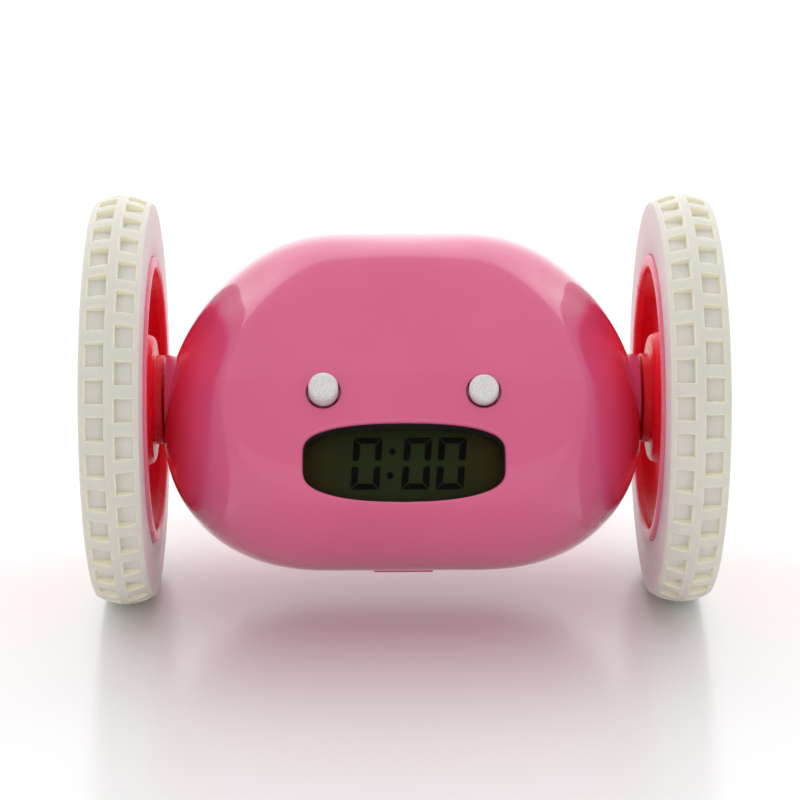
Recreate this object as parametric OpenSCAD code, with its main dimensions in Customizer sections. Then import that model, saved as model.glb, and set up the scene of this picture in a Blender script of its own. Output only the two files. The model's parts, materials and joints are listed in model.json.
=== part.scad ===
// A small alarm clock that drives itself off the shelf on two big wheels.
// X runs along the axle, -Y is the front, +Z is up, and the tyres stand on Z = 0.
// Most of the inside is laid out in the face frame, which leans back with the face:
// there -Y is the way the eye buttons point and +Z runs up the face.

/* [Wheels] */
// Outer radius of the tyres, over the tread
tyre_r = 44.5; // [42:0.5:50]
// Distance from the middle of the clock to the inner face of a tyre
tyre_x = 54.0; // [53.6:0.2:60]
// Width of a tyre from its inner face to its outer face
tyre_w = 12.2; // [10:0.2:16]
// Radius at which the tyre sits on the rim
rim_r = 31.3; // [27:0.1:35]
// Width of the raised tread band
tread_w = 11.8; // [10:0.2:12]
// Radius of the tread's crown across the tyre
tread_crown = 11.5; // [11:0.5:40]
// Height of the tread band above the sidewall's edge
tread_h = 1.8; // [1:0.1:2.5]
// Number of pockets round each of the two tread rows
tread_count = 36; // [24:1:44]
// Depth of a tread pocket
pocket_deep = 1.8; // [0.8:0.1:2.5]
// Length of a tread pocket along the row
pocket_long = 5.2; // [2:0.1:5.6]
// Width of a tread pocket across the row
pocket_wide = 4.0; // [1.5:0.1:4.2]
// Thickness of the web that joins rim and boss
web_t = 2.2; // [1.4:0.1:3]
// Radius of the stepped face round the wheel's boss
hub_step_r = 13.6; // [12.5:0.1:18]

/* [Body] */
// Half the body's width at mid height
body_half_w = 51.8; // [50:0.2:53]
// Reach of the body in front of and behind the axle
body_reach = 43.5; // [42:0.5:44]
// Reach of the body above and below the axle
body_rise = 36.5; // [35:0.5:39]
// Half width of the straight middle of the body
body_flat = 14; // [8:1:20]
// How much narrower the body is at its top than at mid height, as a share
body_taper = 0.11; // [0:0.01:0.14]
// Thickness of the case wall
wall = 1.8; // [1.2:0.1:2.4]

/* [Face] */
// Lean of the face back from upright
face_tilt = 38; // [34:1:42]
// How far the face lies behind the body's front reach
face_back = 11.2; // [10:0.1:12]
// Radius of the face's crown, top to bottom
face_crown_r = 150; // [120:10:300]
// Radius of the face's crown, side to side
face_side_r = 600; // [400:50:2000]
// Height of the crown's highest line along the face
face_crown_z = -10; // [-14:1:-4]

/* [Display] */
// Half width of the display window
window_half_w = 20.65; // [18:0.1:21.5]
// Half height of the display window
window_half_h = 7.8; // [6:0.1:8]
// Middle of the window along the face
window_z = -24.6; // [-25:0.1:-23]
// How far the display leans forward from the face
lcd_lean = 8; // [4:1:10]
// How far the display glass lies behind the face
lcd_back = 3.7; // [3.3:0.1:4.3]
// Width of the display glass
lcd_w = 45; // [43.5:0.5:46]
// Height of the display glass
lcd_h = 16.8; // [15.5:0.1:17.2]
// Thickness of the display's glass sandwich
lcd_t = 2.6; // [1.6:0.1:2.8]
// Thickness of the clear window
lens_t = 1.2; // [0.8:0.1:1.5]

/* [Eye buttons] */
// Distance of each eye button from the middle
eye_x = 16.4; // [14:0.1:18]
// Place of the eye buttons along the face
eye_z = -10.5; // [-11:0.1:-8]
// Radius of an eye button
eye_r = 3.06; // [2.5:0.02:3.6]
// Gap round an eye button in its hole
eye_gap = 0.5; // [0.2:0.05:0.7]
// How far an eye button stands out of the face
eye_proud = 3.4; // [2:0.1:4]
// Travel of every push button
press = 0.6; // [0.3:0.05:0.8]
// How far the main board's front lies behind the face
board_back = 10.3; // [9.5:0.1:11]

/* [Drive] */
// Radius of the wheel axles
axle_r = 1.5; // [1.2:0.05:2]
// Radius of the body's side collar and of the wheel boss that faces it
collar_r = 9.7; // [9.4:0.1:11]
// How far the flat ends of the side collars lie inside the body's full half width
collar_back = 0.4; // [0:0.1:0.8]
// Outer radius of the axle bushes
bush_r = 3.5; // [3:0.1:4.5]
// Running clearance of every turning fit, on the radius
run_gap = 0.05; // [0.02:0.01:0.09]
// Size of the gear teeth: pitch diameter over tooth count
tooth_module = 0.5; // [0.48:0.01:0.52]
// Teeth of the gear on the axle and of the first wheel it follows
wheel_teeth = 40; // [38:1:42]
// Teeth of the small pinions
pinion_teeth = 12; // [11:1:13]
// Radius of the pins that carry the middle gears
gear_pin_r = 0.8; // [0.6:0.05:1]
// Radius of a motor can
motor_r = 7.5; // [6.5:0.1:7.6]
// Length of a motor can
motor_long = 20; // [16:0.5:21]
// Radius of a motor shaft
shaft_r = 0.75; // [0.6:0.05:1]

/* [Power] */
// Radius of one battery cell
cell_r = 5.25; // [5:0.05:5.3]
// Length of one battery cell
cell_long = 44.5; // [43:0.5:45]
// Distance of the cells' middle plane from the axle
cell_out = 24.7; // [24:0.1:24.9]
// Half width of the battery door
door_half_w = 31; // [29.5:0.1:31.2]
// Gap round the battery door
door_gap = 0.3; // [0.15:0.05:0.5]

/* [Rear controls] */
// How far the rear board lies inside the shell, at the upper row of controls
rear_board_back = 6.8; // [6.4:0.1:8]
// Distance of the rear push buttons and switches from the middle
rear_x = 23; // [21:0.5:23.5]
// Height of the upper row of controls along the rear shell
rear_high = 16.5; // [15.5:0.1:16.8]
// Height of the lower row of controls along the rear shell
rear_low = 8; // [7.8:0.1:8.8]
// Height of the snooze button along the rear shell
snooze_z = 19; // [18.8:0.1:19.2]
// Radius of a rear push button
rear_button_r = 2.6; // [2:0.1:2.7]
// Travel of a slide switch
slide_travel = 3; // [2:0.1:3.5]
// Radius of the speaker
speaker_r = 7.8; // [6:0.1:8]
// Height of the speaker along the rear shell
speaker_z = 6; // [5.6:0.1:6.2]

/* [Fasteners] */
// Radius of the screw posts
post_r = 3; // [2.6:0.1:3.4]
// Radius of the case screws' thread
screw_r = 1.15; // [0.9:0.05:1.4]
// Radius of the case screws' head
head_r = 2.1; // [1.8:0.05:2.4]

/* [Hidden] */
$fn = 48;
fit = 0.02;            // clearance of parts that are pressed or glued in place
cut = 1;               // how far a cutter runs past what it cuts
round_x = 2.3;         // exponent that rounds the body's ends along X
round_r = 1.95;        // exponent that rounds the body's ends towards the axle
crease = 22;           // sharpness of the soft edge round the face
end_angle = 77.5;      // where the body's skin stops, under the collar
side_steps = 12;       // rows of facets from the straight middle to each end
flat_steps = 2;        // rows of facets on half of the straight middle
turn_steps = 68;       // facets round the body

axle_z = tyre_r;
face_out = body_reach - face_back;         // distance of the face from the axle
lcd_out = face_out - lcd_back;             // distance of the display glass from the axle
outer_x = tyre_x + tyre_w;
board_t = 1.6;

// ---- the body's skin -------------------------------------------------------------------

// Share of the full section that is left at station x of a body w wide
function ring_share(x, w) =
    let (s = max(0, (abs(x) - body_flat) / (w - body_flat)))
    pow(max(0, 1 - pow(s, round_x)), 1 / round_r);

// Distance from the axle to the round part of the body, at angle a above the front
function round_reach(x, a, inset) =
    ring_share(x, body_half_w - inset)
    / sqrt(pow(cos(a) / (body_reach - inset), 2) + pow(sin(a) / (body_rise - inset), 2));

// Distance from the axle to the crowned face along the same direction
function face_reach(x, a, inset) =
    let (
        lean = a - face_tilt,
        back = face_crown_r - face_out + x * x / (2 * face_side_r),
        along = face_crown_z * sin(lean) - back * cos(lean)
    )
    along + sqrt(along * along - back * back - face_crown_z * face_crown_z
                 + pow(face_crown_r - inset, 2));

// The nearer of the two, with a soft edge where they meet
function skin_reach(x, a, inset) =
    pow(pow(round_reach(x, a, inset), -crease) + pow(face_reach(x, a, inset), -crease),
        -1 / crease);

function skin_point(x, a, inset) =
    let (r = skin_reach(x, a, inset))
    [x * (1 - body_taper * r * sin(a) / body_rise), -r * cos(a), r * sin(a)];

// Stations along X, close together where the body rounds over
function stations(inset) =
    let (
        reach = body_half_w - inset - body_flat,
        side = [for (i = [1:side_steps])
            body_flat + reach * pow(sin(end_angle * i / side_steps), 2 / round_x)],
        mid = [for (i = [-flat_steps:flat_steps]) body_flat * i / flat_steps]
    )
    concat([for (i = [side_steps - 1:-1:0]) -side[i]], mid, side);

// The body's skin, set in by inset, as one closed solid
module skin(inset) {
    xs = stations(inset);
    rows = len(xs);
    points = [for (x = xs) for (j = [0:turn_steps - 1])
        skin_point(x, 360 * j / turn_steps, inset)];
    sides = [for (i = [0:rows - 2]) for (j = [0:turn_steps - 1])
        let (
            k = (j + 1) % turn_steps,
            a = i * turn_steps + j,
            b = i * turn_steps + k,
            c = a + turn_steps,
            d = b + turn_steps
        )
        each [[a, b, d], [a, d, c]]];
    last = (rows - 1) * turn_steps;
    caps = [for (j = [1:turn_steps - 2])
        each [[0, j + 1, j], [last, last + j, last + j + 1]]];
    polyhedron(points, concat(sides, caps));
}

// ---- frames and small shapes -----------------------------------------------------------

module at_axle() {
    translate([0, 0, axle_z]) children();
}

// -Y points straight out of the face, +Z runs up the face
module face_frame() {
    at_axle() rotate([-face_tilt, 0, 0]) children();
}

// -Y points straight out of the display, which leans forward from the face
module display_frame() {
    face_frame() rotate([lcd_lean, 0, 0]) children();
}

// -Z points from the axle to the middle of the battery door
battery_turn = 9;
module battery_frame() {
    at_axle() rotate([battery_turn, 0, 0]) children();
}

// A cylinder along Y from y0 to y1, at x and z
module rod_y(x, z, r, y0, y1) {
    translate([x, y0, z]) rotate([-90, 0, 0]) cylinder(r = r, h = y1 - y0);
}

// A cylinder along X from x0 to x1, on the frame's own axis
module rod_x(r, x0, x1) {
    translate([x0, 0, 0]) rotate([0, 90, 0]) cylinder(r = r, h = x1 - x0);
}

// A ring along X with the hole r0 and the outside r1
module ring_x(r0, r1, x0, x1) {
    difference() {
        rod_x(r1, x0, x1);
        rod_x(r0, x0 - cut, x1 + cut);
    }
}

// A box from corner a to corner b
module block(a, b) {
    translate(a) cube(b - a);
}

module both_sides() {
    children();
    mirror([1, 0, 0]) children();
}

lens_lip = 1.1;        // how far the clear window runs behind the case
lens_air = 0.4;        // room between the display glass and the clear window
lens_y = lcd_out + lens_air;               // distance of the clear window from the axle
lcd_high = 0.165;      // how much higher the display glass sits than the window's middle
lcd_mid_z = window_z * cos(lcd_lean) + face_out * sin(lcd_lean) + lcd_high;
// Outline of the display window, grown by grow: arched edges and full round corners
window_power = 4.5;
window_arch = 0.2;
window_points = 48;
module window_outline(grow) {
    polygon([for (i = [0:window_points - 1])
        let (
            a = 360 * i / window_points,
            x = sign(cos(a)) * pow(abs(cos(a)), 2 / window_power),
            z = sign(sin(a)) * pow(abs(sin(a)), 2 / window_power)
        )
        [x * (window_half_w + grow),
         z * (window_half_h * (1 - window_arch * x * x) + grow)]]);
}

// The outline as a prism along Y from y0 to y1, at the window's place on the face
module window_prism(grow, y0, y1) {
    translate([0, y1, window_z]) rotate([90, 0, 0])
        linear_extrude(y1 - y0) window_outline(grow);
}

// Distance from the axle to the back of the skin at x and z of the face frame
function back_y(x, z, inset) =
    let (
        share = ring_share(x, body_half_w - inset),
        p = body_reach - inset,
        q = body_rise - inset,
        c = cos(face_tilt),
        s = sin(face_tilt),
        qa = c * c / (p * p) + s * s / (q * q),
        qb = -2 * z * s * c * (1 / (q * q) - 1 / (p * p)),
        qc = z * z * (s * s / (p * p) + c * c / (q * q)) - share * share
    )
    (-qb + sqrt(qb * qb - 4 * qa * qc)) / (2 * qa);

// Distance from the axle down to the skin in the battery's frame, at v behind the axle
function down_reach(v, inset) =
    let (
        p = body_reach - inset,
        q = body_rise - inset,
        c = cos(battery_turn),
        s = sin(battery_turn),
        qa = s * s / (p * p) + c * c / (q * q),
        qb = 2 * v * s * c * (1 / (p * p) - 1 / (q * q)),
        qc = v * v * (c * c / (p * p) + s * s / (q * q)) - 1
    )
    (-qb + sqrt(qb * qb - 4 * qa * qc)) / (2 * qa);

// ---- where things lie ------------------------------------------------------------------

far = 2 * body_reach;  // past everything

screw_places = [[20, 30], [35, -20]];
front_board_y = board_back - face_out;     // front of the main board
// Back of the rear board
rear_board_y = back_y(rear_x, rear_high, wall) - rear_board_back;
front_post_r = 2.2;
front_post_x = 26.6;
front_post_low = -12.5;
front_post_high = 14.5;
front_posts = [[front_post_x, front_post_low], [front_post_x, front_post_high]];
rear_post_r = 1.8;
rear_post_x = 13;
rear_post_low = 7.3;
rear_post_high = 19.5;
rear_posts = [[rear_post_x, rear_post_low], [rear_post_x, rear_post_high]];
board_edge = 2.4;                          // from a post's middle to the board's edge
board_screw_r = 0.8;
guide_wall = 1.2;                          // wall of the buttons' guides and the speaker's ring
eye_flange_r = eye_r + 1.4;
eye_flange_drop = 3.2;                     // reach of the flange's flat lower edge
eye_y = -face_out - eye_proud;             // outer end of an eye button
switch_top = 3.4;                          // height of a push switch on its board
switch_half = 2.6;                         // half width of a push switch
switch_gap = press + 0.05;                 // room over a switch, just past the travel
eye_tail_y = front_board_y - switch_top - switch_gap;  // inner end of an eye button
flange_t = 0.8;                            // thickness of a button's flange
rear_proud = 0.9;                          // how far a rear button or slider stands out
rear_gap = 0.3;                            // gap round a rear button or slider
screw_bite = 12;                           // depth of a case screw's hole in the front shell
head_y = 12;                               // where a case screw's head rests
board_bite = 5;                            // depth of a board screw's hole
guide_y = eye_tail_y - flange_t - 0.3;     // inner end of an eye button's guide tube
rear_tail_y = rear_board_y + switch_top + switch_gap;  // inner end of a rear button
rear_button_places = [[-rear_x, rear_high], [-rear_x, rear_low], [0, snooze_z]];
knob_half = 0.8;                           // half height of a thumb slider
knob_long = 1.2;                           // half length of a thumb slider
slot_half = slide_travel / 2 + knob_long + 0.4;  // half length of a slider's slot
speaker_t = 2;                             // thickness of the speaker's basket
speaker_room = 0.6;                        // least room between the speaker and the shell
// Front of the speaker's basket
speaker_y = back_y(0, speaker_z - speaker_r, wall) - speaker_t - speaker_room;
grille_r = 0.9;                            // radius of a hole in the speaker's grille
grille_step = 2.7;                         // distance between the grille's rings
collar_x = body_half_w - collar_back;      // outer end of the side collars
bush_x0 = 44;                              // inner end of the axle bush
frame_x = 27;                              // inner face of the gear frame
frame_t = 1.5;                             // thickness of the gear frame's plates
cover_x = 40.5;                            // inner face of the gear cover
pitch_big = tooth_module * wheel_teeth / 2;
pitch_small = tooth_module * pinion_teeth / 2;
centre_gap = pitch_big + pitch_small;      // distance between meshing axes
middle_angle = 63.5;                       // direction of the middle gear from the axle
motor_angle = 145;                         // direction of the motor from the middle gear
middle_at = centre_gap * [cos(middle_angle), sin(middle_angle)];
motor_at = middle_at + centre_gap * [cos(motor_angle), sin(motor_angle)];
cell_step = 2 * cell_r + 0.3;
tray_wall = 1.1;
tray_half_y = 2 * cell_step + 0.2;
tray_half_x = 27;
tray_open = 0.8;       // how far the tray's side walls stop short of the cells' middle
tray_tab = 19;         // half length of the tabs on its end walls
tray_tab_high = 2;     // half height of the tabs

// ---- case ------------------------------------------------------------------------------

// What stands inside the case and joins the skin: posts, collars and guides
module inner_solids() {
    face_frame() {
        both_sides() for (p = screw_places)
            rod_y(p[0], p[1], post_r, -far, far);
    }
    at_axle() both_sides() rod_x(collar_r, bush_x0, collar_x);
}

module front_details() {
    face_frame() {
        both_sides() rod_y(eye_x, eye_z, eye_r + eye_gap + guide_wall, -face_out, guide_y);
        intersection() {
            window_prism(lens_lip + 0.4, -far, front_board_y);
            rotate([lcd_lean, 0, 0])
                block([-far, -far, -far], [far, -lens_y - lens_t - fit, 0]);
        }
        both_sides() for (p = front_posts)
            rod_y(p[0], p[1], front_post_r, -far, front_board_y);
    }
}

module rear_details() {
    face_frame() {
        both_sides() for (p = rear_posts)
            rod_y(p[0], p[1], rear_post_r, rear_board_y, far);
        difference() {
            rod_y(0, speaker_z, speaker_r + guide_wall, speaker_y - 1, far);
            rod_y(0, speaker_z, speaker_r + fit, rear_board_y, far + cut);
        }
    }
}

// One half of the hollow case: children are what stands inside it
module hollow() {
    difference() {
        union() {
            at_axle() skin(0);
            at_axle() both_sides() rod_x(collar_r, bush_x0 + 2, collar_x);
        }
        difference() {
            at_axle() skin(wall);
            inner_solids();
            children();
        }
    }
}

module front_half() {
    face_frame() block([-far, -far, -far], [far, 0, far]);
}

module rear_half() {
    face_frame() block([-far, 0, -far], [far, far, far]);
}

// Seats of the bushes and the axle's way out through the collars
module axle_cuts() {
    at_axle() both_sides() {
        rod_x(bush_r, bush_x0 - cut, collar_x - 1.2);
        rod_x(axle_r + 0.4, bush_x0 - cut, collar_x + cut);
        rod_x(collar_r, collar_x, body_half_w + cut);
    }
}

module front_shell() {
    color("hotpink")
    difference() {
        intersection() {
            hollow() front_details();
            front_half();
        }
        axle_cuts();
        face_frame() {
            both_sides() rod_y(eye_x, eye_z, eye_r + eye_gap, -far, front_board_y);
            window_prism(0, -far, front_board_y);
            intersection() {
                window_prism(lens_lip + 0.1, -far, front_board_y);
                rotate([lcd_lean, 0, 0])
                    block([-far, -lens_y - lens_t - fit, -far], [far, 0, 0]);
            }
            both_sides() for (p = screw_places) rod_y(p[0], p[1], screw_r, -screw_bite, cut);
            both_sides() for (p = front_posts)
                rod_y(p[0], p[1], board_screw_r, front_board_y - board_bite, front_board_y + cut);
        }
    }
}

door_front_y = -24.5;                      // front edge of the battery door
door_rear_y = 22.7;                        // rear edge of the battery door
module door_zone(grow) {
    battery_frame()
        block([-door_half_w - grow, door_front_y - grow, -far],
              [door_half_w + grow, door_rear_y + grow, 3.7 - cell_out]);
}

module rear_shell() {
    color("hotpink")
    difference() {
        intersection() {
            hollow() rear_details();
            rear_half();
        }
        axle_cuts();
        door_zone(door_gap);
        face_frame() {
            both_sides() for (p = screw_places) {
                rod_y(p[0], p[1], screw_r + 0.2, -cut, far);
                rod_y(p[0], p[1], head_r + 0.2, head_y, far);
            }
            for (p = rear_button_places)
                rod_y(p[0], p[1], rear_button_r + rear_gap, rear_board_y + 2, far);
            for (z = [rear_high, rear_low])
                block([rear_x - slot_half - rear_gap, rear_board_y + 2, z - knob_half - rear_gap],
                      [rear_x + slot_half + rear_gap, far, z + knob_half + rear_gap]);
            rod_y(0, speaker_z, grille_r, rear_board_y + 2, far);
            for (ring = [1:2]) for (i = [0:6 * ring - 1])
                rod_y(grille_step * ring * cos(60 * i / ring),
                      speaker_z + grille_step * ring * sin(60 * i / ring),
                      grille_r, rear_board_y + 2, far);
            both_sides() for (p = rear_posts)
                rod_y(p[0], p[1], board_screw_r, rear_board_y - cut, rear_board_y + board_bite - 1);
        }
    }
}

// Five ribs for the thumb near the door's front edge, and two hooks behind its rear edge
rib_count = 5;
rib_proud = 0.4;
rib_half_w = 6.4;
rib_half_t = 0.4;
rib_first = -26.5;     // lean of the first rib forward from straight down
rib_step = 2.4;        // lean from each rib to the next
hook_x = 14;
hook_w = 4;
hook_t = 1.2;
hook_tip_t = 0.8;
hook_reach = 1.6;      // how far a hook runs behind the rear shell's edge
hook_room = 0.4;       // room between a hook's tip and the inside of the rear shell
hook_y = door_rear_y - 0.2;
hook_top = hook_tip_t + hook_room - down_reach(door_rear_y + hook_reach, wall);

module battery_door() {
    color("hotpink")
    union() {
        intersection() {
            difference() {
                at_axle() skin(0);
                at_axle() skin(wall);
            }
            door_zone(0);
        }
        at_axle() for (i = [0:rib_count - 1]) {
            lean = rib_first + rib_step * i;
            r = skin_reach(0, -90 - lean, 0);
            rotate([lean, 0, 0])
                block([-rib_half_w, -rib_half_t, -r - rib_proud], [rib_half_w, rib_half_t, wall / 2 - r]);
        }
        battery_frame() both_sides() {
            block([hook_x, hook_y - hook_t, -down_reach(hook_y - hook_t / 2, wall / 2)],
                  [hook_x + hook_w, hook_y, hook_top]);
            block([hook_x, hook_y - hook_t, hook_top - hook_tip_t],
                  [hook_x + hook_w, door_rear_y + hook_reach, hook_top]);
        }
    }
}

// ---- display ---------------------------------------------------------------------------

module display_window() {
    color([0.8, 0.85, 0.8, 0.4])
    intersection() {
        face_frame() window_prism(lens_lip, -far, front_board_y);
        display_frame()
            block([-far, -lens_y - lens_t, -far], [far, -lens_y, 0]);
    }
}

module lcd_panel() {
    color("darkolivegreen")
    display_frame()
        block([-lcd_w / 2, -lcd_out, lcd_mid_z - lcd_h / 2],
              [lcd_w / 2, -lcd_out + lcd_t, lcd_mid_z + lcd_h / 2]);
}

// A tray behind the glass, with lips on three sides
holder_side = 1.2;
holder_rim = 0.8;
holder_lip = 0.4;      // how far the lips stay behind the glass's front
holder_t = 1.4;
module display_holder() {
    color("dimgray")
    display_frame() {
        difference() {
            block([-lcd_w / 2 - holder_side, holder_lip - lcd_out, lcd_mid_z - lcd_h / 2],
                  [lcd_w / 2 + holder_side, lcd_t + holder_t - lcd_out,
                   lcd_mid_z + lcd_h / 2 + holder_rim]);
            block([-lcd_w / 2 - fit, -far, lcd_mid_z - lcd_h / 2 - cut],
                  [lcd_w / 2 + fit, -lcd_out + lcd_t, lcd_mid_z + lcd_h / 2 + fit]);
        }
    }
}

// Flat ribbon on the back of the holder
ribbon_half_w = 12;
ribbon_t = 0.2;
ribbon_start = 1;      // from the middle of the glass to the ribbon's lower end
ribbon_long = 7;
module display_ribbon() {
    back = lcd_t + holder_t - lcd_out;
    low = lcd_mid_z + ribbon_start;
    color("peru")
    display_frame()
        block([-ribbon_half_w, back, low], [ribbon_half_w, back + ribbon_t, low + ribbon_long]);
}

// ---- buttons ---------------------------------------------------------------------------

module eye_button(side) {
    face_frame() {
        rod_y(side * eye_x, eye_z, eye_r, eye_y, eye_tail_y);
        intersection() {
            rod_y(side * eye_x, eye_z, eye_flange_r, eye_tail_y - flange_t, eye_tail_y);
            block([-far, -far, eye_z - eye_flange_drop], [far, far, far]);
        }
    }
}

module hour_button() {
    color("white") eye_button(-1);
}

module minute_button() {
    color("white") eye_button(1);
}

// A push switch with its short plunger, on a board whose face is at y, pushed along dir
module push_switch(x, z, y, dir) {
    translate([x, y, z]) rotate([dir * 90, 0, 0]) {
        translate([-switch_half, -switch_half, 0])
            cube([2 * switch_half, 2 * switch_half, switch_top - 0.8]);
        cylinder(r = 1.5, h = switch_top);
    }
}

module front_board() {
    color("seagreen")
    face_frame() difference() {
        block([-front_post_x - board_edge, front_board_y, front_post_low - board_edge],
              [front_post_x + board_edge, front_board_y + board_t, front_post_high + board_edge]);
        both_sides() for (p = front_posts)
            rod_y(p[0], p[1], board_screw_r, front_board_y - cut, front_board_y + board_t + cut);
    }
}

module front_switches() {
    color("silver")
    face_frame() for (x = [-eye_x, eye_x]) push_switch(x, eye_z, front_board_y, 1);
}

// A flat chip and the clock's crystal beside it
chip_half = 7;
chip_t = 1.2;
chip_w = 10;
chip_z = 2;            // lower edge of both
crystal_x = 13;
crystal_w = 4;
module board_chip() {
    color("#202020")
    face_frame() {
        block([-chip_half, front_board_y - chip_t, chip_z], [chip_half, front_board_y, chip_z + chip_w]);
        block([crystal_x, front_board_y - 2 * chip_t, chip_z],
              [crystal_x + crystal_w, front_board_y, chip_z + crystal_w * 2]);
    }
}

rear_board_half_w = 27;
module rear_board() {
    color("seagreen")
    face_frame() difference() {
        block([-rear_board_half_w, rear_board_y - board_t, rear_post_low - board_edge],
              [rear_board_half_w, rear_board_y, rear_post_high + board_edge]);
        both_sides() for (p = rear_posts)
            rod_y(p[0], p[1], board_screw_r, rear_board_y - board_t - cut, rear_board_y + cut);
    }
}

module rear_switches() {
    color("silver")
    face_frame() for (p = rear_button_places) push_switch(p[0], p[1], rear_board_y, -1);
}

slide_wall = 1.2;      // side wall of a slide switch; its height and depth are twice and three times that
module slide_switch_cases() {
    color("silver")
    face_frame() for (z = [rear_high, rear_low]) difference() {
        block([rear_x - slot_half - slide_wall, rear_board_y, z - 2 * slide_wall],
              [rear_x + slot_half + slide_wall, rear_board_y + 3 * slide_wall, z + 2 * slide_wall]);
        block([rear_x - slot_half, rear_board_y + 1, z - knob_half - rear_gap],
              [rear_x + slot_half, rear_board_y + far, z + knob_half + rear_gap]);
    }
}

// A thumb slider that stands out of its slot, at one end of its travel
module slider(z) {
    tip_y = back_y(rear_x, z, 0) + rear_proud;
    x0 = rear_x - slide_travel / 2;
    face_frame()
        block([x0 - knob_long, rear_board_y + 1.3, z - knob_half], [x0 + knob_long, tip_y, z + knob_half]);
}

module alarm_slider() {
    color("white") slider(rear_high);
}

module run_slider() {
    color("white") slider(rear_low);
}

module rear_button(place) {
    tip_y = back_y(place[0], place[1], 0) + rear_proud;
    face_frame() {
        rod_y(place[0], place[1], rear_button_r, rear_tail_y, tip_y);
        rod_y(place[0], place[1], rear_button_r + 0.8, rear_tail_y, rear_tail_y + flange_t);
    }
}

module time_button() {
    color("white") rear_button(rear_button_places[0]);
}

module alarm_button() {
    color("white") rear_button(rear_button_places[1]);
}

module snooze_button() {
    color("white") rear_button(rear_button_places[2]);
}

// ---- sound -----------------------------------------------------------------------------

module speaker() {
    color("#303030")
    face_frame() difference() {
        union() {
            rod_y(0, speaker_z, speaker_r, speaker_y, speaker_y + speaker_t);
            rod_y(0, speaker_z, speaker_r * 0.45, speaker_y - speaker_t, speaker_y);
        }
        rod_y(0, speaker_z, speaker_r - 1, speaker_y + 0.8, speaker_y + speaker_t + cut);
    }
}

module speaker_cone() {
    color("#505050")
    face_frame() translate([0, speaker_y + 0.8, speaker_z]) rotate([-90, 0, 0])
        rotate_extrude() polygon([[0, 0], [speaker_r - 1, 0.6], [speaker_r - 1, 1], [0, 0.5]]);
}

// ---- power -----------------------------------------------------------------------------

nub = 0.8;             // length of a cell's raised end
module cell(i) {
    y = (i - 1.5) * cell_step;
    side = i % 2 == 0 ? 1 : -1;
    battery_frame() translate([0, y, -cell_out]) mirror([side < 0 ? 1 : 0, 0, 0]) {
        rod_x(cell_r, -cell_long / 2, cell_long / 2 - nub);
        rod_x(1.9, cell_long / 2 - nub, cell_long / 2);
    }
}

module battery_1() {
    color("goldenrod") cell(0);
}

module battery_2() {
    color("goldenrod") cell(1);
}

module battery_3() {
    color("goldenrod") cell(2);
}

module battery_4() {
    color("goldenrod") cell(3);
}

// An open box over the cells, with end walls that hold the contacts
module battery_tray() {
    top = -cell_out + cell_r + 0.2;
    color("#404040")
    battery_frame() union() {
        difference() {
            block([-tray_half_x, -tray_half_y - tray_wall, tray_open - cell_out],
                  [tray_half_x, tray_half_y + tray_wall, top + tray_wall]);
            block([-tray_half_x + tray_wall, -tray_half_y, -cell_out],
                  [tray_half_x - tray_wall, tray_half_y, top]);
        }
        both_sides()
            block([tray_half_x - tray_wall, -tray_tab, -cell_out - tray_tab_high],
                  [tray_half_x, tray_tab, -cell_out + tray_tab_high]);
    }
}

// Plates with a sprung tongue, one pair for each cell
module battery_contacts() {
    x0 = tray_half_x - tray_wall;
    color("silver")
    battery_frame() for (i = [0:3]) for (side = [-1, 1]) {
        y = (i - 1.5) * cell_step;
        gap = x0 - cell_long / 2 - 0.05;
        mirror([side < 0 ? 1 : 0, 0, 0]) translate([x0, y, -cell_out]) union() {
            block([-0.4, -4, -1.9], [0, 4, 4]);
            block([-gap, -1, -1.6], [-0.4, 1, -1.2]);
            block([-gap, -1, -1.6], [0.4 - gap, 1, 1.6]);
        }
    }
}

// ---- drive -----------------------------------------------------------------------------

// Half the angle that a tooth of a z-tooth gear spans at radius r
pressure = 20;
backlash = 0.12;       // gap between meshing flanks, as a share of the tooth
function involute_angle(r, base) =
    let (a = acos(min(1, base / r))) tan(a) * 180 / PI - a;
function tooth_half(z, r) =
    let (pitch = tooth_module * z / 2, base = pitch * cos(pressure))
    90 / z * (1 - backlash) + involute_angle(pitch, base) - involute_angle(max(r, base), base);

// Outline of a gear whose first tooth points turn degrees above the front
module gear_outline(z, turn) {
    pitch = tooth_module * z / 2;
    rs = [pitch - 1.2 * tooth_module, pitch - 0.5 * tooth_module, pitch,
          pitch + 0.4 * tooth_module, pitch + 0.75 * tooth_module];
    polygon([for (i = [0:z - 1]) each concat(
        [for (k = [0:4]) let (a = turn + 360 * i / z - tooth_half(z, rs[k]))
            rs[k] * [-cos(a), sin(a)]],
        [for (k = [4:-1:0]) let (a = turn + 360 * i / z + tooth_half(z, rs[k]))
            rs[k] * [-cos(a), sin(a)]]
    )]);
}

// A gear round X with z teeth from x0 to x1
module gear(z, turn, bore, x0, x1) {
    difference() {
        translate([x0, 0, 0]) rotate([90, 0, 90]) linear_extrude(x1 - x0) gear_outline(z, turn);
        rod_x(bore, x0 - cut, x1 + cut);
    }
}

// Turn of a gear with z2 teeth that lies away from one with z teeth, so that they mesh
function mesh_turn(away, z, turn, z2) =
    let (f = (away - turn) * z / 360)
    away + 180 - 360 / z2 * (0.5 - (f - floor(f)));
pinion_turn = mesh_turn(middle_angle, wheel_teeth, 0, pinion_teeth);
motor_turn = mesh_turn(motor_angle, wheel_teeth, 0, pinion_teeth);

// Places a gear or shaft at [front, up] from the axle, in the face frame
module at_shaft(place) {
    face_frame() translate([0, -place[0], place[1]]) children();
}

first_x = 29.8;        // inner side of the motor pinion and the big middle wheel
second_x = 34.6;       // inner side of the axle gear

module axle_gear() {
    at_shaft([0, 0]) gear(wheel_teeth, 0, axle_r, second_x, second_x + 3);
}

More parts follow.
